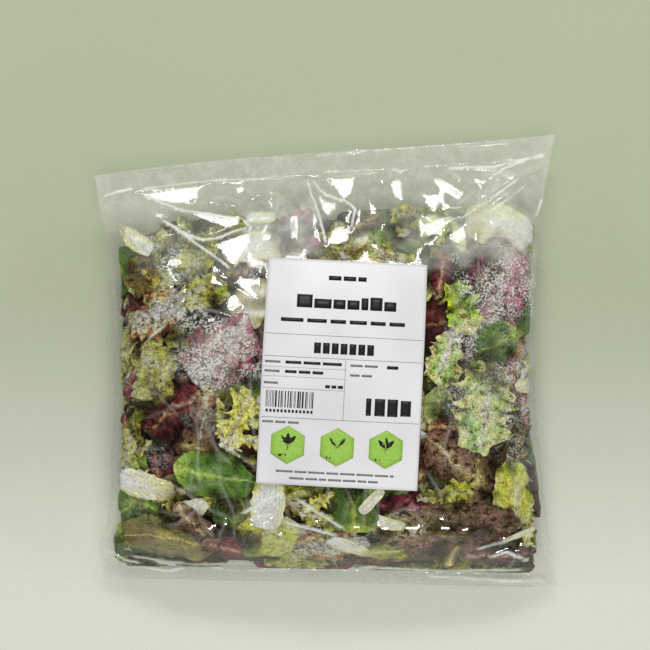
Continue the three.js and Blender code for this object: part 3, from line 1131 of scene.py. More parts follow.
class Print:
    """One ink on the label: bars, rows of word bars and outlined shapes, all thin solids."""

    def __init__(self, ink):
        self.ink = ink
        self.heap = Heap()

    def sheet(self, right, down):
        low = on_label(right, down, LABEL["thickness"] + PRINT_LIFT)
        high = on_label(right, down, LABEL["thickness"] + PRINT_LIFT + PRINT_THICKNESS)
        return low, high

    def bar(self, right, down, width, height):
        """A bar from its left end, with its middle at that height."""
        columns, rows = int(width / PRINT_STEP) + 2, int(height / PRINT_STEP) + 2
        d, r = np.meshgrid(
            down + np.linspace(height / 2, -height / 2, rows),
            right + np.linspace(0, width, columns),
            indexing="ij",
        )
        self.heap.take(*slab(*self.sheet(r, d)))

    def words(self, right, down, width, height, seed, lengths, gap):
        """Bars of word length in a row of the given width."""
        rng = np.random.default_rng([SEED, 40, seed])
        at, end = right, right + width
        while end - at > lengths[0] / 2:
            length = min(rng.uniform(*lengths), end - at)
            self.bar(at, down, length, height)
            at += length + gap

    def blocks(self, count, right, pitch, down, width, height):
        for i in range(count):
            self.bar(right + pitch * i, down, width, height)

    def blob(self, right, down, radii, angles):
        """A shape from its middle to an outline given by radii at angles."""
        rings = np.array(BLOB_RINGS)[:, None]
        r = right + rings * (radii * np.cos(angles))[None]
        d = down - rings * (radii * np.sin(angles))[None]
        points, quads = slab(*self.sheet(r, d), closed=True)
        self.heap.take(points, quads[:, ::-1])

    def make(self):
        nodes = Nodes("print_" + self.ink)
        patch = nodes.span(nodes.noise(nodes.place(), *INK_PATCH["noise"]), *INK_PATCH["span"])
        tint = nodes.times_grey(screen_colour(INKS[self.ink]), [patch] * 3)
        shader = nodes.add("ShaderNodeBsdfPrincipled", {"Base Color": tint, "Roughness": INK_ROUGHNESS})
        piece = self.heap.make("print_" + self.ink, nodes.finish(shader.outputs[0]))


def hexagon(radius):
    """Radii and angles of a hexagon that stands on a corner."""
    angles = np.linspace(0, 2 * math.pi, HEXAGON_POINTS, endpoint=False)
    turn = (angles + math.pi / 6) % (math.pi / 3) - math.pi / 6
    return radius * math.cos(math.pi / 6) / np.cos(turn), angles


def leaf_outline(length, width, turn):
    """Radii and angles of a pointed leaf."""
    angles = np.linspace(0, 2 * math.pi, LEAF_SHAPE["points"], endpoint=False)
    lean = angles - turn
    radii = 1 / np.sqrt((np.cos(lean) / length) ** 2 + (np.sin(lean) / width) ** 2)
    return radii * (1 - LEAF_SHAPE["waist"] * abs(np.sin(2 * lean))), angles


def print_title(black):
    at = TITLE["left"]
    for length, rise in TITLE["blocks"]:
        black.bar(at, TITLE["foot"] - rise / 2, length, rise)
        at += length + TITLE["gap"]


def print_stripes(black):
    """Stripes in the manner of a bar code, drawn at random, that encode nothing."""
    rng = np.random.default_rng([SEED, STRIPES["seed"]])
    at = STRIPES["left"]
    while at < STRIPES["right"]:
        width = rng.choice(STRIPES["widths"])
        black.bar(at, STRIPES["down"], width, STRIPES["height"])
        at += width + rng.choice(STRIPES["gaps"])


def print_badge(black, green, number, middle):
    green.blob(middle, BADGE["down"], *hexagon(BADGE["radius"]))
    for k in range(BADGE["leaves"]):
        lean = math.pi / 2 + (k - 1) * BADGE["lean"]
        right = middle + BADGE["reach"][0] * math.cos(lean)
        down = BADGE["leaf_down"] - BADGE["reach"][1] * math.sin(lean)
        black.blob(right, down, *leaf_outline(*BADGE["leaf"], lean))
    black.bar(middle - BADGE["stem"][0] / 2, BADGE["stem_down"], *BADGE["stem"])
    words = BADGE["words"]
    start, seed = middle - words["width"] / 2, words["seed"] + number
    black.words(start, words["down"], words["width"], words["height"], seed, words["lengths"], words["gap"])


def make_print():
    inks = {ink: Print(ink) for ink in INKS}
    for ink, *row in WORD_ROWS:
        inks[ink].words(*row)
    for ink, *bar in BARS:
        inks[ink].bar(*bar)
    for row in BLOCK_ROWS.values():
        inks["black"].blocks(*row)
    print_title(inks["black"])
    print_stripes(inks["black"])
    for number, middle in enumerate(BADGE["middles"]):
        print_badge(inks["black"], inks["green"], number, middle)
    for ink in inks.values():
        ink.make()


# Leaves. Sizes are in millimetres. A half outline is along ** rise * (1 - along) ** fall, and a base.
# Teeth have a count, a depth and a sharpness. Ruffles, blisters and swells have a height and a pitch.
KINDS = {
    "green_curly": {
        "rise": 0.75, "fall": 0.38, "base": 0.22, "teeth": (9, 0.3, 0.6), "fray": 0.26, "warp": 2.8,
        "ruffle": (4.2, 10.0), "blister": (1.5, 6.0), "swell": (3.4, 17.0), "rib": (2.0, 1.3), "vein": 9.0,
    },
    "green_dark": {
        "rise": 0.6, "fall": 0.75, "base": 0.06, "teeth": (3, 0.05, 1.0), "fray": 0.04, "warp": 1.2,
        "ruffle": (1.8, 19.0), "blister": (0.9, 8.0), "swell": (2.8, 20.0), "rib": (0.9, 0.8), "vein": 8.0,
    },
    "red_ruffled": {
        "rise": 0.7, "fall": 0.36, "base": 0.2, "teeth": (10, 0.34, 0.7), "fray": 0.28, "warp": 2.8,
        "ruffle": (4.0, 8.5), "blister": (1.5, 5.5), "swell": (3.2, 15.0), "rib": (1.5, 1.1), "vein": 7.0,
    },
    "purple_veined": {
        "rise": 0.55, "fall": 0.4, "base": 0.3, "teeth": (5, 0.08, 0.8), "fray": 0.1, "warp": 2.0,
        "ruffle": (2.6, 13.0), "blister": (1.3, 7.0), "swell": (3.4, 18.0), "rib": (2.6, 1.6), "vein": 8.5,
    },
    "brown_smooth": {
        "rise": 0.7, "fall": 0.55, "base": 0.12, "teeth": (4, 0.1, 0.7), "fray": 0.08, "warp": 1.6,
        "ruffle": (2.4, 16.0), "blister": (1.0, 8.0), "swell": (3.2, 20.0), "rib": (1.2, 1.0), "vein": 9.5,
    },
    "serrated": {
        "rise": 0.6, "fall": 0.55, "base": 0.14, "teeth": (8, 0.4, 0.5), "fray": 0.14, "warp": 2.0,
        "ruffle": (2.8, 9.0), "blister": (1.0, 5.5), "swell": (2.6, 17.0), "rib": (1.5, 1.3), "vein": 6.0,
    },
    "frisee": {
        "rise": 0.4, "fall": 0.35, "base": 0.14, "teeth": (7, 0.62, 0.5), "fray": 0.3, "warp": 2.8,
        "ruffle": (2.6, 7.0), "blister": (0.8, 4.5), "swell": (3.0, 13.0), "rib": (1.6, 1.3), "vein": 5.0,
    },
    "pale_rib": {
        "rise": 0.3, "fall": 0.22, "base": 0.3, "teeth": (5, 0.04, 0.8), "fray": 0.04, "warp": 0.7,
        "ruffle": (1.0, 13.0), "blister": (0.3, 8.0), "swell": (1.8, 20.0), "rib": (3.4, 2.0), "vein": 4.5,
    },
}

# Screen colours of a leaf: its rib, two for its blade, and its edge
TONES = {
    "lime": ((236, 240, 198), (196, 214, 110), (164, 190, 78), (214, 224, 136)),
    "yellow": ((242, 242, 202), (216, 224, 140), (196, 212, 108), (224, 228, 156)),
    "moss": ((206, 206, 146), (134, 142, 62), (104, 114, 44), (160, 158, 76)),
    "olive": ((178, 172, 120), (108, 98, 58), (84, 80, 46), (122, 116, 58)),
    "bronze": ((178, 170, 126), (118, 112, 78), (104, 92, 74), (112, 118, 70)),
    "brown": ((196, 176, 140), (108, 94, 78), (88, 76, 66), (112, 90, 72)),
    "redbrown": ((206, 178, 168), (128, 102, 98), (108, 86, 84), (102, 70, 70)),
    "deep": ((158, 180, 112), (66, 100, 46), (46, 82, 40), (78, 112, 50)),
    "spinach": ((150, 182, 112), (78, 116, 44), (54, 96, 38), (92, 128, 52)),
    "greygreen": ((188, 198, 168), (124, 142, 110), (98, 122, 90), (140, 150, 112)),
    "palegreen": ((222, 230, 206), (160, 186, 128), (132, 166, 104), (182, 200, 146)),
    "mizuna": ((214, 226, 160), (142, 182, 50), (118, 164, 40), (164, 196, 70)),
    "maroon": ((188, 150, 132), (98, 44, 54), (70, 28, 42), (84, 32, 46)),
    "crimson": ((206, 160, 158), (134, 54, 76), (100, 38, 60), (90, 30, 52)),
    "aubergine": ((176, 148, 158), (80, 44, 62), (56, 32, 48), (60, 34, 50)),
    "magenta": ((226, 190, 212), (176, 118, 156), (104, 48, 88), (112, 40, 72)),
    "lilac": ((234, 216, 224), (190, 148, 172), (146, 84, 120), (118, 58, 88)),
    "plum": ((214, 190, 186), (138, 104, 116), (120, 110, 98), (108, 90, 86)),
    "cream": ((242, 242, 224), (228, 228, 196), (214, 220, 174), (222, 222, 180)),
    "white": ((242, 242, 228), (224, 226, 204), (210, 216, 188), (206, 214, 166)),
    "tan": ((240, 236, 216), (220, 208, 178), (198, 178, 148), (166, 128, 104)),
    "straw": ((240, 240, 206), (214, 218, 138), (190, 204, 100), (206, 212, 120)),
}
VIVID = 1.15
WARMTH = (1.3, 1.2, 0.82)
PALE_LIGHT = {"share": 0.6, "span": (0.12, 0.45)}
# Powers on each colour part where painted shade or mottle dims a leaf: dimmer places lose blue fastest
SHADE_POWER = (1.3, 1.55, 2.4)
LEAF_STEP = {"shown": 0.8, "fill": 1.8, "deep": 2.4}
LEAF_GRID = {"rows": 9, "side": 4}
LEAF_HALF_THICKNESS = 0.22
LEAST_DEPTH = 0.9
SHOWN_SINK = 1.1
# How leaves vary in outline, and how a blade bends, ruffles and folds
OUTLINE = {
    "vary": (0.75, 1.3), "stem_power": 0.5, "teeth_waver": 0.35, "worn": 0.13, "fray_pitches": (4.0, 1.8),
    "least": 0.03,
}
BLADE = {"waver": 0.12, "full_width": 20, "warps": ((1.0, 9.0), (0.35, 3.0))}
RUFFLE = {"lag": 1.3, "waver": 1.6, "vary": 0.4, "rise": 3, "least": 0.3, "power": 1.7}
FINE_RUFFLE = {"share": 0.4, "power": 3, "faster": 2.3, "lag": 1}
CURL = {"share": 0.5, "power": 2}
BLISTER_FOLDS = {"share": 0.7, "pitch": 1.4}
SWELL_FOLDS = {"share": 0.5, "pitch": 0.6}
RIB = {"width": 1.15, "fade": 0.55, "press": 0.35, "thick": 0.5}
# How close a leaf may come to the middle of the bag, and how thin it is pressed there
ROOM = {"depth": 0.93, "thickness": 0.05, "least": 0.1}
SOFTNESS = {"depth": 0.5, "edge": 0.6, "stack": 0.25}
# A leaf's colours: blotches by pitch, its shade (random tone, with painted shade in its valleys), its edge,
# its pale heart and its base
BLOTCH = {"pitch": 11, "fine_pitch": 4, "fine_share": 0.6, "span": (-0.4, 0.4)}
SHADE = {"mean": 1.06, "leaf": 0.1, "patch": 0.15, "pitch": 16, "valley": 0.25, "span": (0.35, 1.5)}
EDGE = {"waver": 0.3, "pitch": 5, "span": (0.6, 0.95)}
HEART = {"strength": 0.5, "width": 0.4, "pitch": 7}
PALE = {"rib": 1.1, "base": 0.8, "base_span": (0.72, 1.0)}
# Painted shade: leaves that lie deeper under the film are darker, less so near the heap's end
DEEP_SHADE = {"from": 3.0, "per_mm": 0.17, "least": 0.14, "end_reach": 14, "end_light": 0.85}
HEAP_MARGIN = 0.5
FOLD_GAP = {"left": 6.5, "right": 2.5, "reach": 13}
HEAP_TOP = {
    "left": 86, "right": 102, "wave": 4.0, "waves": 5.5, "shown_over": 7,
    "corner_drop": 20, "corner_reach": 24,
}
BAG_LENGTH = 255
MM_PER_ROW = BAG_LENGTH / (WRAP.rows - 1)
FLAT_SCALE = 50.0

heaps = {kind: Heap() for kind in KINDS}
laid = [0]


class Stack:
    """How deep the leaves laid so far reach under each place of the film, in cells of about 1 mm.

    Each leaf goes below the ones before it, and rises again beyond their edges at a set slope.
    """

    cells = 2
    gap = 0.9
    slope = 0.5
    spread = 7

    def __init__(self):
        shape = (WRAP.rows * self.cells, WRAP.columns * self.cells)
        self.depth = np.full(shape, LEAST_DEPTH - self.gap)

    def places(self, row, column):
        r = np.clip(np.rint(row * self.cells).astype(int), 0, self.depth.shape[0] - 1)
        c = np.rint(column * self.cells).astype(int) % self.depth.shape[1]
        return r, c

    def put_under(self, row, column, below):
        """The depth of a leaf once it is below the leaves before it."""
        r, c = self.places(row, column)
        first, last = max(r.min() - self.spread, 0), r.max() + self.spread + 1
        near = self.depth[first:last].copy()
        for _ in range(self.spread):
            for axis, way in ((0, 1), (0, -1), (1, 1), (1, -1)):
                near = np.maximum(near, np.roll(near, way, axis) - self.slope)
        below = softly_above(below, near[r - first, c] + self.gap, SOFTNESS["stack"])
        for dr in (0, 1):
            for dc in (0, 1):
                rr = np.minimum(r + dr, self.depth.shape[0] - 1)
                np.maximum.at(self.depth, (rr, (c + dc) % self.depth.shape[1]), below)
        return below


STACK = Stack()


def softly_above(x, low, softness):
    """x where it is well above low, and never under low."""
    return low + softness * np.logaddexp(0, (x - low) / softness)


def waver(rng, s, waves=4):
    """A smooth random line over s, about -1 to 1."""
    line = np.zeros_like(s)
    for wave in range(1, waves + 1):
        line += rng.uniform(-1, 1) / wave * np.sin(math.pi * wave * s + rng.uniform(0, 2 * math.pi))
    return line


def half_width(spec, s, length, rng):
    """One side's half width along the leaf, as a share of its greatest."""
    rise = spec["rise"] * rng.uniform(*OUTLINE["vary"])
    fall = spec["fall"] * rng.uniform(*OUTLINE["vary"])
    peak = rise / (rise + fall)
    body = s**rise * (1 - s) ** fall / (peak**rise * (1 - peak) ** fall)
    stem = spec["base"] * (1 - s) ** OUTLINE["stem_power"]
    count, depth, sharpness = spec["teeth"]
    phase = count * s + OUTLINE["teeth_waver"] * waver(rng, s) + rng.uniform()
    tooth = abs(2 * (phase % 1) - 1) ** sharpness
    worn = 1 + OUTLINE["worn"] * waver(rng, s)
    for pitch in OUTLINE["fray_pitches"]:
        worn = worn + spec["fray"] * value_noise(rng, s * length, 0 * s, pitch)
    return np.maximum((body + stem) * (1 - depth * tooth) * worn, OUTLINE["least"])


def vivid(colour):
    """A leaf's linear colour, richer, warmer and lighter where it is pale."""
    grey = colour.mean()
    lit = 1 + PALE_LIGHT["share"] * smoothstep(grey, *PALE_LIGHT["span"])
    return np.clip((grey + VIVID * (colour - grey)) * WARMTH * lit, 0.004, 1)


def heap_top_row(x):
    """The row where the heap of leaves ends, below the headspace."""
    across = across_top(x)
    line = lerp(HEAP_TOP["left"], HEAP_TOP["right"], across)
    line += HEAP_TOP["wave"] * math.sin(2 * math.pi * HEAP_TOP["waves"] * across)
    from_corner = TOP_WIDTH * min(across, 1 - across) / HEAP_TOP["corner_reach"]
    line -= HEAP_TOP["corner_drop"] * math.exp(-(from_corner**2))
    return float(share_along(np.float64(x), np.float64(line))) * (WRAP.rows - 1)


def fold_gap(column):
    """How much deeper the leaves lie near the film's side folds."""
    from_left = np.minimum(column % WRAP.columns, -column % WRAP.columns) * COLUMN_MM
    from_right = abs(column - WRAP.crown) * COLUMN_MM
    left = FOLD_GAP["left"] * np.exp(-((from_left / FOLD_GAP["reach"]) ** 2))
    return left + FOLD_GAP["right"] * np.exp(-((from_right / FOLD_GAP["reach"]) ** 2))


def blade_plan(rng, spec, s, t, length, width, bend):
    """Where the blade's points lie along and aside of its middle, and across its curved midrib."""
    left, right = half_width(spec, s, length, rng), half_width(spec, s, length, rng)
    across = np.where(t < 0, left, right) * width / 2 * t
    heading = bend * (s - 0.5) + BLADE["waver"] * waver(rng, s)
    step = length / (len(s) - 1)
    along = np.cumsum(np.cos(heading), axis=0) * step
    aside = np.cumsum(np.sin(heading), axis=0) * step
    along, aside = along - along.mean(), aside - aside.mean()
    along = along - np.sin(heading) * across
    aside = aside + np.cos(heading) * across
    reach = min(1.0, width / BLADE["full_width"])
    for share, pitch in BLADE["warps"]:
        bend_along = value_noise(rng, along, aside, pitch)
        bend_aside = value_noise(rng, along, aside, pitch)
        along = along + share * reach * spec["warp"] * bend_along
        aside = aside + share * reach * spec["warp"] * bend_aside
    return along, aside, across, reach


def blade_relief(rng, spec, s, t, along, aside, length, reach):
    """The blade's ruffles, blisters, folds and swells, and how far its rim curls along it."""
    rim = abs(t)
    rise, wave_length = spec["ruffle"]
    phase = 2 * math.pi * length / wave_length * s + np.sign(t) * RUFFLE["lag"]
    phase = phase + RUFFLE["waver"] * waver(rng, s)
    strength = rise * reach * (1 + RUFFLE["vary"] * waver(rng, s))
    strength = strength * np.clip(RUFFLE["rise"] * s, RUFFLE["least"], 1)
    waves = strength * rim ** RUFFLE["power"] * np.sin(phase)
    fine = np.sin(FINE_RUFFLE["faster"] * phase + FINE_RUFFLE["lag"])
    waves = waves + FINE_RUFFLE["share"] * strength * rim ** FINE_RUFFLE["power"] * fine
    curl = CURL["share"] * strength * rim ** CURL["power"] * np.cos(phase)
    blister, blister_pitch = spec["blister"]
    swell, swell_pitch = spec["swell"]
    swell = swell * reach
    bumps = blister * value_noise(rng, along, aside, blister_pitch)
    fold = folds(rng, along, aside, BLISTER_FOLDS["pitch"] * blister_pitch)
    bumps = bumps - BLISTER_FOLDS["share"] * blister * fold
    bumps = bumps + swell * value_noise(rng, along, aside, swell_pitch)
    fold = folds(rng, along, aside, SWELL_FOLDS["pitch"] * swell_pitch)
    bumps = bumps - SWELL_FOLDS["share"] * swell * fold
    return waves + bumps, curl


def leaf_tints(rng, tone, s, t, along, aside, local, rib, light):
    """Colours of a leaf: two tones in blotches, the rib, the pale base and heart, and the edge, with random
    tone, and painted shade in its valleys and where it lies deep.
    """
    rib_tone, first, second, edge = (vivid(linear(colour)) for colour in TONES[tone])
    blotch = value_noise(rng, along, aside, BLOTCH["pitch"])
    blotch = blotch + BLOTCH["fine_share"] * value_noise(rng, along, aside, BLOTCH["fine_pitch"])
    shade = SHADE["mean"] + SHADE["leaf"] * rng.uniform(-1, 1)
    shade = shade + SHADE["patch"] * value_noise(rng, along, aside, SHADE["pitch"])
    # Painted shade: darker where the blade's relief sinks, then times the painted shade of lying deep
    shade = np.clip(shade - SHADE["valley"] * local, *SHADE["span"]) * light
    tint = lerp(first, second, smoothstep(blotch, *BLOTCH["span"])[..., None])
    at_edge = abs(t) + EDGE["waver"] * value_noise(rng, along, aside, EDGE["pitch"])
    tint = lerp(tint, edge, smoothstep(at_edge, *EDGE["span"])[..., None])
    heart = HEART["strength"] * np.exp(-((t / HEART["width"]) ** 2)) * (1 - s)
    heart = heart * (1 + value_noise(rng, along, aside, HEART["pitch"]))
    base = PALE["base"] * smoothstep(1 - s, *PALE["base_span"])
    pale = np.clip(rib * PALE["rib"] + heart + base, 0, 1)
    dim, lit = np.minimum(shade, 1)[..., None], np.maximum(shade, 1)[..., None]
    tint = lerp(tint, rib_tone, pale[..., None]) * dim ** np.array(SHADE_POWER) * lit
    return np.clip(tint, 0, 1).reshape(-1, 3)


def onto_film(along, aside, start, turn, high):
    """Rows and columns of the film for a turned leaf, held between the bottom seal and the heap's end."""
    angle = math.radians(turn)
    right = along * math.cos(angle) - aside * math.sin(angle)
    up = along * math.sin(angle) + aside * math.cos(angle)
    here = [np.array(part) for part in start]
    row = start[0] + up / float(WRAP.sample(WRAP.step_up, *here))
    column = start[1] + right / float(WRAP.sample(WRAP.step_round, *here))
    low = (SEAL_STRIP["bottom"] + HEAP_MARGIN) / MM_PER_ROW
    row = softly_above(row, low, SOFTNESS["edge"])
    return high - softly_above(high - row, 0, SOFTNESS["edge"]), column


def faces_out(middle, normal):
    """Whether a table of points runs round its normals the way that slab's faces do."""
    i, j = middle.shape[0] // 2, middle.shape[1] // 2
    turn = np.cross(middle[i, j + 1] - middle[i, j - 1], middle[i + 1, j] - middle[i - 1, j])
    return turn @ normal[i, j] >= 0


def lay(kind, x, y, length, width, turn, depth, tone, pitch, tilt, bend, place=None, ragged=0.0):
    """Lays one leaf under the film, round a place of the crown or of the unrolled film.

    turn is where its tip points, in degrees from the right. pitch is the mesh step. tilt is how its
    depth grows towards the tip and its left side, and bend is how far its midrib curves, in radians.
    """
    laid[0] += 1
    rng = np.random.default_rng([SEED, 100, laid[0]])
    spec = KINDS[kind]
    rows = max(int(length / pitch), LEAF_GRID["rows"])
    columns = 2 * max(int(width / pitch / 2), LEAF_GRID["side"]) + 1
    s = np.linspace(0, 1, rows)[:, None]
    t = np.linspace(-1, 1, columns)[None, :]
    along, aside, across, reach = blade_plan(rng, spec, s, t, length, width, bend)
    local, curl = blade_relief(rng, spec, s, t, along, aside, length, reach)
    rib_width, rib_height = spec["rib"]
    thinner = 1 - RIB["fade"] * s
    rib = np.exp(-((across / (rib_width * reach * (RIB["width"] - RIB["fade"] * s))) ** 2)) * thinner
    below = depth + local + tilt[0] * (s - 0.5) * length + tilt[1] * across
    below = softly_above(below - RIB["press"] * rib_height * rib, LEAST_DEPTH, SOFTNESS["depth"])
    along = along + curl

    over = HEAP_TOP["shown_over"] if place is None else -ragged
    high = heap_top_row(x) + over / MM_PER_ROW
    row, column = onto_film(along, aside, WRAP.find(x, y) if place is None else place, turn, high)
    room = WRAP.sample(WRAP.room, row, column)
    below = np.minimum(STACK.put_under(row, column, below) + fold_gap(column), room * ROOM["depth"])
    inward = WRAP.sample(WRAP.inward, row, column)
    middle = WRAP.sample(WRAP.points, row, column) + inward * below[..., None]
    normal = grid_normals(middle)
    normal *= np.sign(-(normal * inward).sum())
    half = LEAF_HALF_THICKNESS + RIB["thick"] * rib_height * rib * reach
    half = np.minimum(half, room * ROOM["thickness"] + ROOM["least"])[..., None]
    points, quads = slab(middle - normal * half, middle + normal * half)
    if not faces_out(middle, normal):
        quads = quads[:, ::-1]

    # Painted shade by depth under the film, lifted near the heap's end
    deeper = below - fold_gap(column) - DEEP_SHADE["from"]
    deep = np.clip(1 - DEEP_SHADE["per_mm"] * deeper, DEEP_SHADE["least"], 1)
    at_end = smoothstep(row, high - DEEP_SHADE["end_reach"] / MM_PER_ROW, high) * DEEP_SHADE["end_light"]
    tint = leaf_tints(rng, tone, s, t, along, aside, local, rib, lerp(deep, 1, at_end))
    flat = np.stack([along + length, across + 0 * along], axis=-1).reshape(-1, 2) / FLAT_SCALE
    heaps[kind].take(points, quads, np.tile(tint, (2, 1)), np.tile(flat, (2, 1)))


# The leaves that show, roughly from the bag's upper left to its lower right: kind, place of the plan,
# length, width, turn, depth and tone. SHOWN_VARY is how their tilt and bend vary.
SHOWN_VARY = {"tilt": 0.035, "bend": 0.35}
SHOWN_LEAVES = [
    ("pale_rib", -118, 79, 37, 9, 143, 1.2, "white"),
    ("green_curly", -94, 78, 34, 20, 15, 2.4, "palegreen"),
    ("green_curly", -117, 55, 26, 16, 100, 2.2, "palegreen"),
    ("green_curly", -121, 12, 34, 15, 95, 1.6, "yellow"),
    ("green_curly", -118, -50, 28, 14, 80, 1.8, "yellow"),
    ("green_curly", -112, 22, 24, 16, 60, 1.9, "palegreen"),
    ("green_curly", -60, 84, 26, 16, 10, 2.6, "moss"),
    ("brown_smooth", -109, 57, 30, 24, 160, 2.0, "olive"),
    ("green_dark", -90, 63, 32, 26, 60, 2.2, "greygreen"),
    ("green_curly", -77, 66, 30, 26, 80, 1.6, "lime"),
    ("green_curly", -73, 47, 34, 22, 20, 1.4, "lime"),
    ("red_ruffled", -43, 60, 22, 18, 30, 2.4, "aubergine"),
    ("pale_rib", -40, 73, 40, 17, 5, 1.6, "white"),
    ("pale_rib", -44, 39, 34, 18, 85, 1.8, "white"),
    ("purple_veined", -103, 33, 42, 24, 185, 1.5, "tan"),
    ("red_ruffled", -112, 39, 18, 8, 160, 1.1, "maroon"),
    ("green_dark", -75, 33, 24, 16, 10, 1.8, "deep"),
    ("green_curly", -79, 22, 28, 16, 190, 1.7, "moss"),
    ("green_curly", -102, -3, 42, 38, 110, 1.8, "yellow"),
    ("purple_veined", -59, 11, 46, 38, 55, 1.5, "lilac"),
    ("red_ruffled", -77, -15, 24, 20, 200, 1.5, "crimson"),
    ("brown_smooth", -69, -24, 32, 18, 262, 1.4, "redbrown"),
    ("red_ruffled", -94, -27, 28, 22, 215, 1.6, "maroon"),
    ("green_curly", -116, -34, 26, 20, 100, 1.8, "moss"),
    ("red_ruffled", -121, -27, 13, 8, 120, 1.3, "maroon"),
    ("frisee", -50, -29, 40, 26, 60, 1.2, "straw"),
    ("frisee", -44, -40, 30, 12, -10, 1.4, "straw"),
    ("frisee", -60, -30, 30, 12, 100, 1.6, "lime"),
    ("green_dark", -45, -3, 28, 18, 95, 2.6, "spinach"),
    ("green_dark", -57, -11, 22, 16, 20, 2.4, "moss"),
    ("brown_smooth", -75, -45, 26, 18, 160, 2.2, "brown"),
    ("red_ruffled", -96, -55, 20, 16, 70, 1.4, "crimson"),
    ("green_dark", -63, -60, 52, 30, -14, 1.3, "spinach"),
    ("pale_rib", -107, -67, 42, 13, -12, 1.3, "cream"),
    ("green_curly", -98, -70, 28, 16, -20, 1.7, "yellow"),
    ("frisee", -71, -77, 24, 9, 15, 1.4, "straw"),
    ("green_dark", -119, -80, 24, 20, 220, 2.0, "deep"),
    ("green_dark", -99, -82, 26, 18, -30, 2.0, "spinach"),
    ("pale_rib", -78, -80, 22, 10, 20, 1.3, "cream"),
    ("brown_smooth", -75, -91, 48, 17, -52, 1.2, "redbrown"),
    ("green_dark", -96, -100, 66, 40, 170, 1.7, "bronze"),
    ("red_ruffled", -61, -105, 28, 24, -30, 1.1, "crimson"),
    ("green_dark", -37, -98, 44, 40, 245, 1.3, "lime"),
    ("pale_rib", -33, -76, 36, 17, 82, 1.2, "white"),
    ("frisee", -5, -76, 26, 9, 30, 1.3, "straw"),
    ("green_curly", -4, -85, 40, 13, -30, 1.5, "lime"),
    ("green_dark", 17, -80, 34, 26, 95, 1.4, "deep"),
    ("pale_rib", 27, -75, 20, 6, 50, 1.3, "white"),
    ("pale_rib", 36, -88, 24, 7, -20, 1.4, "white"),
    ("red_ruffled", 0, -91, 16, 9, 60, 1.5, "aubergine"),
    ("purple_veined", 2, -103, 48, 28, 188, 1.6, "tan"),
    ("pale_rib", 15, -105, 34, 9, -37, 1.2, "cream"),
    ("brown_smooth", 72, -93, 92, 42, -2, 1.4, "plum"),
    ("green_curly", 70, -71, 32, 13, 5, 1.3, "lime"),
    ("red_ruffled", 87, -62, 38, 34, 60, 1.7, "brown"),
    ("brown_smooth", 71, -51, 34, 28, 130, 1.5, "redbrown"),
    ("green_dark", 113, -72, 46, 30, 80, 1.6, "lime"),
    ("brown_smooth", 103, -110, 52, 18, 5, 1.6, "aubergine"),
    ("pale_rib", 117, -97, 24, 4, 22, 1.1, "cream"),
    ("pale_rib", 76, -111, 26, 5, 84, 1.3, "bronze"),
    ("serrated", 79, 38, 34, 26, 115, 1.2, "mizuna"),
    ("serrated", 70, 7, 34, 24, 250, 1.4, "palegreen"),
    ("green_dark", 101, 17, 32, 27, 200, 1.5, "deep"),
    ("purple_veined", 80, 18, 26, 20, 30, 1.8, "lilac"),
    ("serrated", 95, -22, 54, 48, 250, 1.3, "palegreen"),
    ("green_dark", 66, -20, 24, 18, 80, 2.0, "greygreen"),
    ("red_ruffled", 75, -33, 28, 18, 10, 1.6, "maroon"),
    ("brown_smooth", 116, -36, 36, 16, 95, 1.8, "brown"),
    ("green_dark", 79, 69, 26, 18, 20, 2.0, "aubergine"),
    ("purple_veined", 103, 47, 62, 42, 75, 1.5, "magenta"),
    ("red_ruffled", 98, 62, 24, 14, 60, 1.2, "crimson"),
    ("green_dark", 112, 67, 26, 18, 120, 1.9, "greygreen"),
    ("pale_rib", 106, 85, 48, 24, 165, 2.0, "cream"),
    ("red_ruffled", 68, 53, 24, 14, 80, 1.3, "crimson"),
    ("frisee", 70, 84, 24, 8, 70, 1.3, "mizuna"),
    ("frisee", 78, 80, 22, 8, 110, 1.5, "mizuna"),
    ("pale_rib", -38, 91, 18, 7, 0, 1.2, "white"),
    ("brown_smooth", -33, 85, 16, 12, 200, 1.6, "olive"),
    ("purple_veined", -14, 82, 34, 22, 85, 1.4, "magenta"),
    ("red_ruffled", 20, 85, 30, 14, 33, 1.4, "brown"),
    ("green_dark", 34, 86, 24, 18, 60, 1.7, "spinach"),
    ("green_curly", 46, 88, 22, 16, 100, 1.5, "lime"),
    ("green_dark", 48, 78, 26, 18, 150, 2.0, "deep"),
    ("green_curly", 10, 76, 26, 16, 100, 1.6, "yellow"),
    ("green_dark", 40, -108, 32, 20, 10, 2.6, "moss"),
    ("green_curly", -14, -72, 28, 20, 20, 2.6, "moss"),
    ("purple_veined", 45, -84, 44, 24, 175, 2.0, "magenta"),
    ("red_ruffled", -82, 0, 30, 22, 80, 2.6, "maroon"),
]


# Leaves behind those that show: kind, tone and how often
FILL = [
    ("green_curly", "lime", 5),
    ("green_curly", "yellow", 4),
    ("green_curly", "moss", 2),
    ("green_dark", "deep", 4),
    ("green_dark", "spinach", 4),
    ("green_dark", "greygreen", 2),
    ("red_ruffled", "maroon", 5),
    ("red_ruffled", "aubergine", 3),
    ("purple_veined", "magenta", 3),
    ("purple_veined", "lilac", 2),
    ("purple_veined", "tan", 2),
    ("brown_smooth", "olive", 2),
    ("brown_smooth", "redbrown", 2),
    ("serrated", "mizuna", 3),
    ("serrated", "palegreen", 2),
    ("frisee", "straw", 3),
    ("pale_rib", "cream", 3),
]
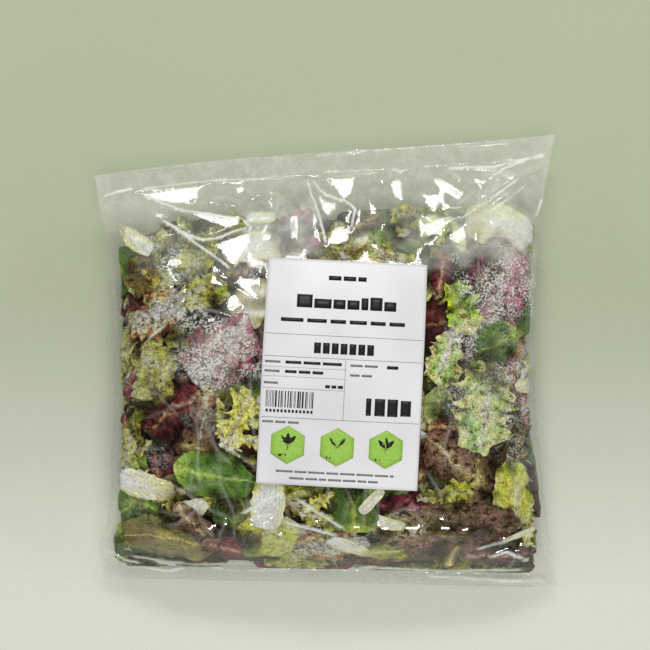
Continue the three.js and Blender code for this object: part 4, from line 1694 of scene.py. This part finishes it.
# Layers of fill: how many leaves, between which depths and lengths, where they lie and their mesh
LAYERS = [
    (80, (1.2, 2.6), (26, 44), "off_shown", "fill"),
    (44, (1.8, 3.4), (24, 36), "heap_end", "fill"),
    (40, (5.0, 16.0), (24, 36), "heap_end", "fill"),
    (80, (2.4, 4.4), (24, 42), "anywhere", "fill"),
    (105, (4.5, 7.0), (44, 60), "anywhere", "deep"),
]
HEAP_END = {"reach": 20, "tones": ["palegreen", "lime", "yellow", "straw", "cream"]}
# Fill off the shown side starts this many columns before the side fold, and all fill keeps this many
# rows from the film's ends. Narrow kinds have widths of their own.
FILL_PLACE = {"past_fold": 12, "from_bottom": 6, "from_top": 14, "from_end": 6}
FILL_VARY = {"tilt": 0.06, "bend": 0.5, "ragged": 9, "broad": (0.6, 0.85)}
NARROW = {"frisee": 0.3, "pale_rib": 0.36}


def lay_shown():
    rng = np.random.default_rng([SEED, 300])
    for kind, x, y, length, width, turn, depth, tone in sorted(SHOWN_LEAVES, key=lambda leaf: leaf[6]):
        tilt, bend = rng.normal(0, SHOWN_VARY["tilt"], 2), rng.normal(0, SHOWN_VARY["bend"])
        lay(kind, x, y, length, width, turn, depth + SHOWN_SINK, tone, LEAF_STEP["shown"], tilt, bend)


def lay_fill():
    rng = np.random.default_rng([SEED, 400])
    kinds = [row[:2] for row in FILL for _ in range(row[2])]
    past_fold, from_end = FILL_PLACE["past_fold"], FILL_PLACE["from_end"]
    for count, depths, lengths, where, mesh in LAYERS:
        for _ in range(count):
            kind, tone = kinds[rng.integers(len(kinds))]
            if where == "off_shown":
                column = WRAP.crown - past_fold + rng.uniform() * (WRAP.belly + 2 * past_fold)
            else:
                column = rng.uniform(0, WRAP.columns)
            row = rng.uniform(FILL_PLACE["from_bottom"], WRAP.rows - FILL_PLACE["from_top"])
            x = float(WRAP.sample(WRAP.points, np.array(row), np.array(column))[..., 0])
            if where == "heap_end":
                row = heap_top_row(x) - from_end - rng.uniform(0, HEAP_END["reach"]) / MM_PER_ROW
                tone = HEAP_END["tones"][rng.integers(len(HEAP_END["tones"]))]
            row = min(row, heap_top_row(x) - from_end)
            length = rng.uniform(*lengths)
            broad = rng.uniform(*FILL_VARY["broad"])
            width = length * NARROW.get(kind, broad)
            turn, depth = rng.uniform(0, 360), rng.uniform(*depths)
            tilt, bend = rng.normal(0, FILL_VARY["tilt"], 2), rng.normal(0, FILL_VARY["bend"])
            ragged = rng.uniform(0, FILL_VARY["ragged"])
            place = (row, column)
            lay(kind, x, 0, length, width, turn, depth, tone, LEAF_STEP[mesh], tilt, bend, place, ragged)


# Each kind's vein colour, vein strength, roughness, mottle, the painted shade of its creases and creases'
# depth
LEAF_FINISH = {
    "green_curly": ((224, 230, 160), 0.3, 0.42, 0.6, 0.42, 7.0),
    "green_dark": ((170, 190, 130), 0.5, 0.38, 0.3, 0.25, 3.0),
    "red_ruffled": ((168, 92, 96), 0.3, 0.42, 0.78, 0.5, 7.0),
    "purple_veined": ((150, 40, 84), 0.8, 0.42, 0.74, 0.4, 4.5),
    "brown_smooth": ((196, 170, 140), 0.4, 0.4, 0.8, 0.5, 4.5),
    "serrated": ((222, 232, 190), 0.4, 0.42, 0.6, 0.32, 3.0),
    "frisee": ((238, 240, 206), 0.3, 0.4, 0.5, 0.3, 2.0),
    "pale_rib": ((226, 230, 200), 0.2, 0.34, 0.1, 0.1, 0.6),
}
VEIN = {
    "warp": (9.0, 2.0), "warp_by": 0.06, "slant": 1.15, "thin_at": 0.3, "width": (0.055, 0.018), "fade": 0.4,
}
NET = {"pitch": 3.2, "span": (0.02, 0.12, 0.5, 0.0), "puff_span": (0.0, 0.35)}
GRAIN = {"noise": (280.0, 5.0, 0.75), "dark": (0.4, 0.48), "light": (0.53, 0.6), "light_share": 0.6}
STREAK = {"along": 4.0, "across": 55.0, "noise": (1.0, 2.0), "span": (0.35, 0.65, 0.86, 1.08)}
# Crumple noise: painted shade along its crease lines, with the colour between them lifted, and the same
# lines in the bump
CRUMPLE = {"noise": (380.0, 4.0, 0.65), "span": (0.0, 0.05), "light": 1.12}
LEAF_BUMP = {"puff": 0.25, "vein": 0.8, "strength": 0.8, "distance": 0.0018}
LEAF_THROUGH = 0.22


def leaf_veins(nodes, flat, pitch):
    """Side veins that slant out of the midrib, and how far each place is from the net of fine veins."""
    parts = nodes.add("ShaderNodeSeparateXYZ", {0: flat})
    by = VEIN["warp_by"]
    warp = nodes.span(nodes.noise(flat, *VEIN["warp"]), 0, 1, -by, by, smooth=False)
    side = nodes.math("ABSOLUTE", parts.outputs["Y"])
    lead = nodes.math("SUBTRACT", parts.outputs["X"], nodes.math("MULTIPLY", side, VEIN["slant"]))
    turns = nodes.math("MULTIPLY", nodes.math("ADD", lead, warp), FLAT_SCALE / pitch)
    from_vein = nodes.math("ABSOLUTE", nodes.math("SUBTRACT", nodes.math("FRACT", turns), 0.5))
    width = nodes.span(side, 0.0, VEIN["thin_at"], *VEIN["width"], smooth=False)
    faded = nodes.span(nodes.math("DIVIDE", from_vein, width), VEIN["fade"], 1.0)
    inputs = {"Vector": flat, "Scale": FLAT_SCALE / NET["pitch"]}
    net = nodes.add("ShaderNodeTexVoronoi", inputs, feature="DISTANCE_TO_EDGE").outputs["Distance"]
    return nodes.math("SUBTRACT", 1.0, faded), net


def leaf_mottle(nodes, place, flat, mottle, crease):
    """Grain, streaks along the leaf and painted shade along its creases, with lighter colour between them,
    and how far each place is from a crease.
    """
    grain = nodes.noise(place, *GRAIN["noise"])
    dark = nodes.span(grain, *GRAIN["dark"], 1 - mottle, 1)
    light = nodes.span(grain, *GRAIN["light"], 1, 1 + mottle * GRAIN["light_share"])
    inputs = {0: flat, 1: (STREAK["along"], STREAK["across"], 1)}
    stretched = nodes.add("ShaderNodeVectorMath", inputs, operation="MULTIPLY").outputs[0]
    streak = nodes.span(nodes.noise(stretched, *STREAK["noise"]), *STREAK["span"])
    mottled = nodes.math("MULTIPLY", nodes.math("MULTIPLY", dark, light), streak)
    crumple = nodes.noise(place, *CRUMPLE["noise"])
    crest = nodes.math("ABSOLUTE", nodes.math("SUBTRACT", crumple, 0.5))
    crease_shade = nodes.span(crest, *CRUMPLE["span"], 1 - crease, CRUMPLE["light"])
    return nodes.math("MULTIPLY", mottled, crease_shade), crest


def leaf_material(kind):
    vein, strength, rough, mottle, crease, crumple = LEAF_FINISH[kind]
    nodes = Nodes("leaf_" + kind)
    place = nodes.place()
    flat = nodes.add("ShaderNodeUVMap", uv_map="Flat").outputs["UV"]
    side_vein, net = leaf_veins(nodes, flat, KINDS[kind]["vein"])
    veins = nodes.math("MAXIMUM", side_vein, nodes.span(net, *NET["span"]))
    share = nodes.math("MULTIPLY", veins, strength)
    colour = nodes.mix(share, nodes.attribute("Tint"), screen_colour(vein))
    mottled, crest = leaf_mottle(nodes, place, flat, mottle, crease)
    # The mottle carries the painted crease shade; dimmer places lose blue fastest
    dim, lit = nodes.math("MINIMUM", mottled, 1.0), nodes.math("MAXIMUM", mottled, 1.0)
    warm = [nodes.math("MULTIPLY", nodes.math("POWER", dim, power), lit) for power in SHADE_POWER]
    colour = nodes.times_grey(colour, warm)
    puff = nodes.math(
        "SUBTRACT", nodes.span(net, *NET["puff_span"]), nodes.math("MULTIPLY", side_vein, LEAF_BUMP["vein"])
    )
    puff = nodes.math("MULTIPLY", puff, LEAF_BUMP["puff"])
    height = nodes.math("SUBTRACT", puff, nodes.math("MULTIPLY", crest, crumple))
    bump = nodes.bump(height, LEAF_BUMP["strength"], LEAF_BUMP["distance"])
    inputs = {"Base Color": colour, "Roughness": rough, "Normal": bump}
    skin = nodes.add("ShaderNodeBsdfPrincipled", inputs)
    glow = nodes.add("ShaderNodeBsdfTranslucent", {"Color": colour, "Normal": bump})
    return nodes.finish(nodes.blend(LEAF_THROUGH, skin.outputs[0], glow.outputs[0]))


def make_leaves():
    lay_shown()
    lay_fill()
    for kind, heap in heaps.items():
        piece = heap.make("leaves_" + kind, leaf_material(kind))


# The heart of the heap: how deep it lies, how many rows it keeps from the ends, and its lumps and looks
CORE = {"depth": 9.5, "from_seal": 5, "from_top": 14, "from_end": 9, "step": 2, "room": 0.9}
CORE_LUMPS = {"height": 1.8, "pitch": 14}
# Dark leaf tones for the heart, painted shade for the gaps between the leaves
CORE_SHADED_TONES = [(52, 60, 26), (78, 92, 36), (66, 34, 36), (84, 66, 38), (40, 50, 22)]
CORE_BLOTCH = {"pitch": 12, "span": (0.0, 0.3)}
CORE_LOOK = {"noise": (260.0, 3.0), "roughness": 0.6, "strength": 0.8, "distance": 0.002}


def make_core():
    """The heart of the heap, seen only in gaps between the leaves, in dark tones that are painted shade."""
    rng = np.random.default_rng([SEED, 500])
    first = int((SEAL_STRIP["bottom"] + CORE["from_seal"]) / MM_PER_ROW)
    last = WRAP.rows - CORE["from_top"]
    rows, columns = np.meshgrid(
        np.arange(first, last, CORE["step"]), np.arange(0, WRAP.columns, CORE["step"]), indexing="ij"
    )
    top = np.array([[heap_top_row(x) for x in line] for line in WRAP.points[rows, columns][..., 0]])
    rows = np.minimum(rows, top - CORE["from_end"])
    points = WRAP.sample(WRAP.points, rows, columns)
    room = WRAP.sample(WRAP.room, rows, columns)
    inward = WRAP.sample(WRAP.inward, rows, columns)
    lumpy = value_noise(rng, points[..., 0], points[..., 1], CORE_LUMPS["pitch"])
    depth = CORE["depth"] + fold_gap(columns) + CORE_LUMPS["height"] * lumpy
    points = points + inward * np.minimum(depth, room * CORE["room"])[..., None]
    points[0] = points[0].mean(axis=0)
    points[-1] = points[-1].mean(axis=0)
    around = points.shape[1]
    a, b = cells(*points.shape[:2], closed=True)
    quads = np.stack([a, b, b + around, a + around], axis=1)
    flat = points.reshape(-1, 3)
    tint = np.tile(linear(CORE_SHADED_TONES[0]), (len(flat), 1))
    for tone in CORE_SHADED_TONES[1:]:
        blotch = value_noise(rng, flat[:, 0], flat[:, 1], CORE_BLOTCH["pitch"])
        tint = lerp(tint, linear(tone), smoothstep(blotch, *CORE_BLOTCH["span"])[:, None])
    nodes = Nodes("core")
    rough = nodes.noise(nodes.place(), *CORE_LOOK["noise"])
    bump = nodes.bump(rough, CORE_LOOK["strength"], CORE_LOOK["distance"])
    inputs = {"Base Color": nodes.attribute("Tint"), "Roughness": CORE_LOOK["roughness"], "Normal": bump}
    shader = nodes.add("ShaderNodeBsdfPrincipled", inputs)
    heap = Heap()
    heap.take(flat, quads, tint)
    piece = heap.make("leaf_core", nodes.finish(shader.outputs[0]))


# Drops: where they may lie, how likely they are on clear film, and how big, flat and deep they are
DROPLETS = {
    "count": 1100, "x": (-125, 122), "y": (-112, 118), "from_label": 1, "on_clear": 0.12,
    "radius": (0.25, 0.8), "power": 1.5, "flat": 0.5, "depth": 0.45,
}
WATER_GLOSS = {"rim_power": 3.0, "gloss": (0.08, 0.7), "roughness": 0.04}
WATER_CLEAR = (0.93, 0.95, 0.93, 1)


def make_droplets():
    """Beads of condensed water on the inner side of the film."""
    rng = np.random.default_rng([SEED, 600])
    mould = bmesh.new()
    bmesh.ops.create_icosphere(mould, subdivisions=1, radius=1.0)
    ball = np.array([v.co for v in mould.verts])
    faces = np.array([[v.index for v in f.verts] for f in mould.faces])
    mould.free()
    heap = Heap()
    made = 0
    while made < DROPLETS["count"]:
        x, y = rng.uniform(*DROPLETS["x"]), rng.uniform(*DROPLETS["y"])
        chance = DROPLETS["on_clear"] + mist_with_painted_light(np.array([x]), np.array([y])).max()
        if rng.uniform() > chance or outside_label(x, y) < DROPLETS["from_label"]:
            continue
        radius = rng.uniform(*DROPLETS["radius"]) ** DROPLETS["power"]
        here = [np.array(part) for part in WRAP.find(x, y)]
        at = WRAP.sample(WRAP.points, *here) + WRAP.sample(WRAP.inward, *here) * DROPLETS["depth"]
        heap.take(at + ball * radius * np.array([1, 1, DROPLETS["flat"]]), faces)
        made += 1
    nodes = Nodes("water")
    piece = heap.make("droplets", nodes.finish(nodes.clear_gloss(WATER_CLEAR, **WATER_GLOSS)))


# Stage: a pale green floor, soft lights and the camera straight above
FLOOR = {"size": 12.0, "below": 0.0004, "roughness": 0.8}
# Painted light: the floor is painted lighter towards the front and darker behind
FLOOR_PAINTED_LIGHT = {"near": (228, 232, 218), "far": (182, 190, 163), "span": (-0.17, 0.06)}
FLOOR_GRAIN = {"noise": (500.0, 2.0), "span": (0.3, 0.7, 0.985, 1.015)}
SKY = {"colour": (0.98, 0.96, 0.88, 1), "strength": 0.07}
# Lights: name, place, length and width, watts, and whether the film's gloss shows them
LIGHTS = [
    ("overhead", (0.05, -0.25, 1.6), (1.1, 1.1), 14.6, False),
    ("back", BACK_LIGHT, (0.6, 0.12), 6.0, True),
    ("left", (-0.95, 0.1, 0.5), (0.4, 0.08), 1.5, False),
    ("right", (0.95, 0.1, 0.5), (0.4, 0.08), 1.5, False),
    ("front", (0.1, -1.2, 0.2), (0.3, 0.04), 2.6, True),
]
CAMERA = {"frame_width": 0.39, "sensor": 36.0}


def make_floor():
    nodes = Nodes("floor")
    place = nodes.place()
    along = nodes.add("ShaderNodeSeparateXYZ", {0: place}).outputs["Y"]
    share = nodes.span(along, *FLOOR_PAINTED_LIGHT["span"])
    tone = nodes.mix(share, screen_colour(FLOOR_PAINTED_LIGHT["near"]), screen_colour(FLOOR_PAINTED_LIGHT["far"]))
    grain = nodes.span(nodes.noise(place, *FLOOR_GRAIN["noise"]), *FLOOR_GRAIN["span"])
    inputs = {"Base Color": nodes.times_grey(tone, [grain] * 3), "Roughness": FLOOR["roughness"]}
    shader = nodes.add("ShaderNodeBsdfPrincipled", inputs)
    mesh = bpy.data.meshes.new("floor")
    half = FLOOR["size"] / 2
    corners = [(-half, -half, 0), (half, -half, 0), (half, half, 0), (-half, half, 0)]
    mesh.from_pydata(corners, [], [(0, 1, 2, 3)])
    mesh.materials.append(nodes.finish(shader.outputs[0]))
    floor = bpy.data.objects.new("floor", mesh)
    floor.location.z = -FLOOR["below"]
    bpy.context.scene.collection.objects.link(floor)


def make_lights():
    for name, place, (length, width), watts, glossy in LIGHTS:
        data = bpy.data.lights.new(name, "AREA")
        data.shape = "RECTANGLE"
        data.size = length
        data.size_y = width
        data.energy = watts
        lamp = bpy.data.objects.new(name, data)
        lamp.location = place
        lamp.visible_glossy = glossy
        lamp.rotation_mode = "QUATERNION"
        lamp.rotation_quaternion = (-Vector(place)).to_track_quat("-Z", "Y")
        bpy.context.scene.collection.objects.link(lamp)
    world = bpy.data.worlds.new("studio")
    world.use_nodes = True
    sky = world.node_tree.nodes["Background"].inputs
    sky["Color"].default_value = SKY["colour"]
    sky["Strength"].default_value = SKY["strength"]
    bpy.context.scene.world = world
    bpy.context.scene.view_settings.view_transform = "Standard"


def make_camera():
    data = bpy.data.cameras.new("camera")
    data.sensor_width = CAMERA["sensor"]
    data.lens = CAMERA["sensor"] * VIEWER["above_fold"] / CAMERA["frame_width"]
    camera = bpy.data.objects.new("camera", data)
    aim = to_frame([*VIEWER["aim"], FOLD_HEIGHT])
    camera.location = (aim[0], aim[1], aim[2] + VIEWER["above_fold"])
    bpy.context.scene.collection.objects.link(camera)
    bpy.context.scene.camera = camera


make_film()
make_label()
make_print()
make_leaves()
make_core()
make_droplets()
make_floor()
make_lights()
make_camera()
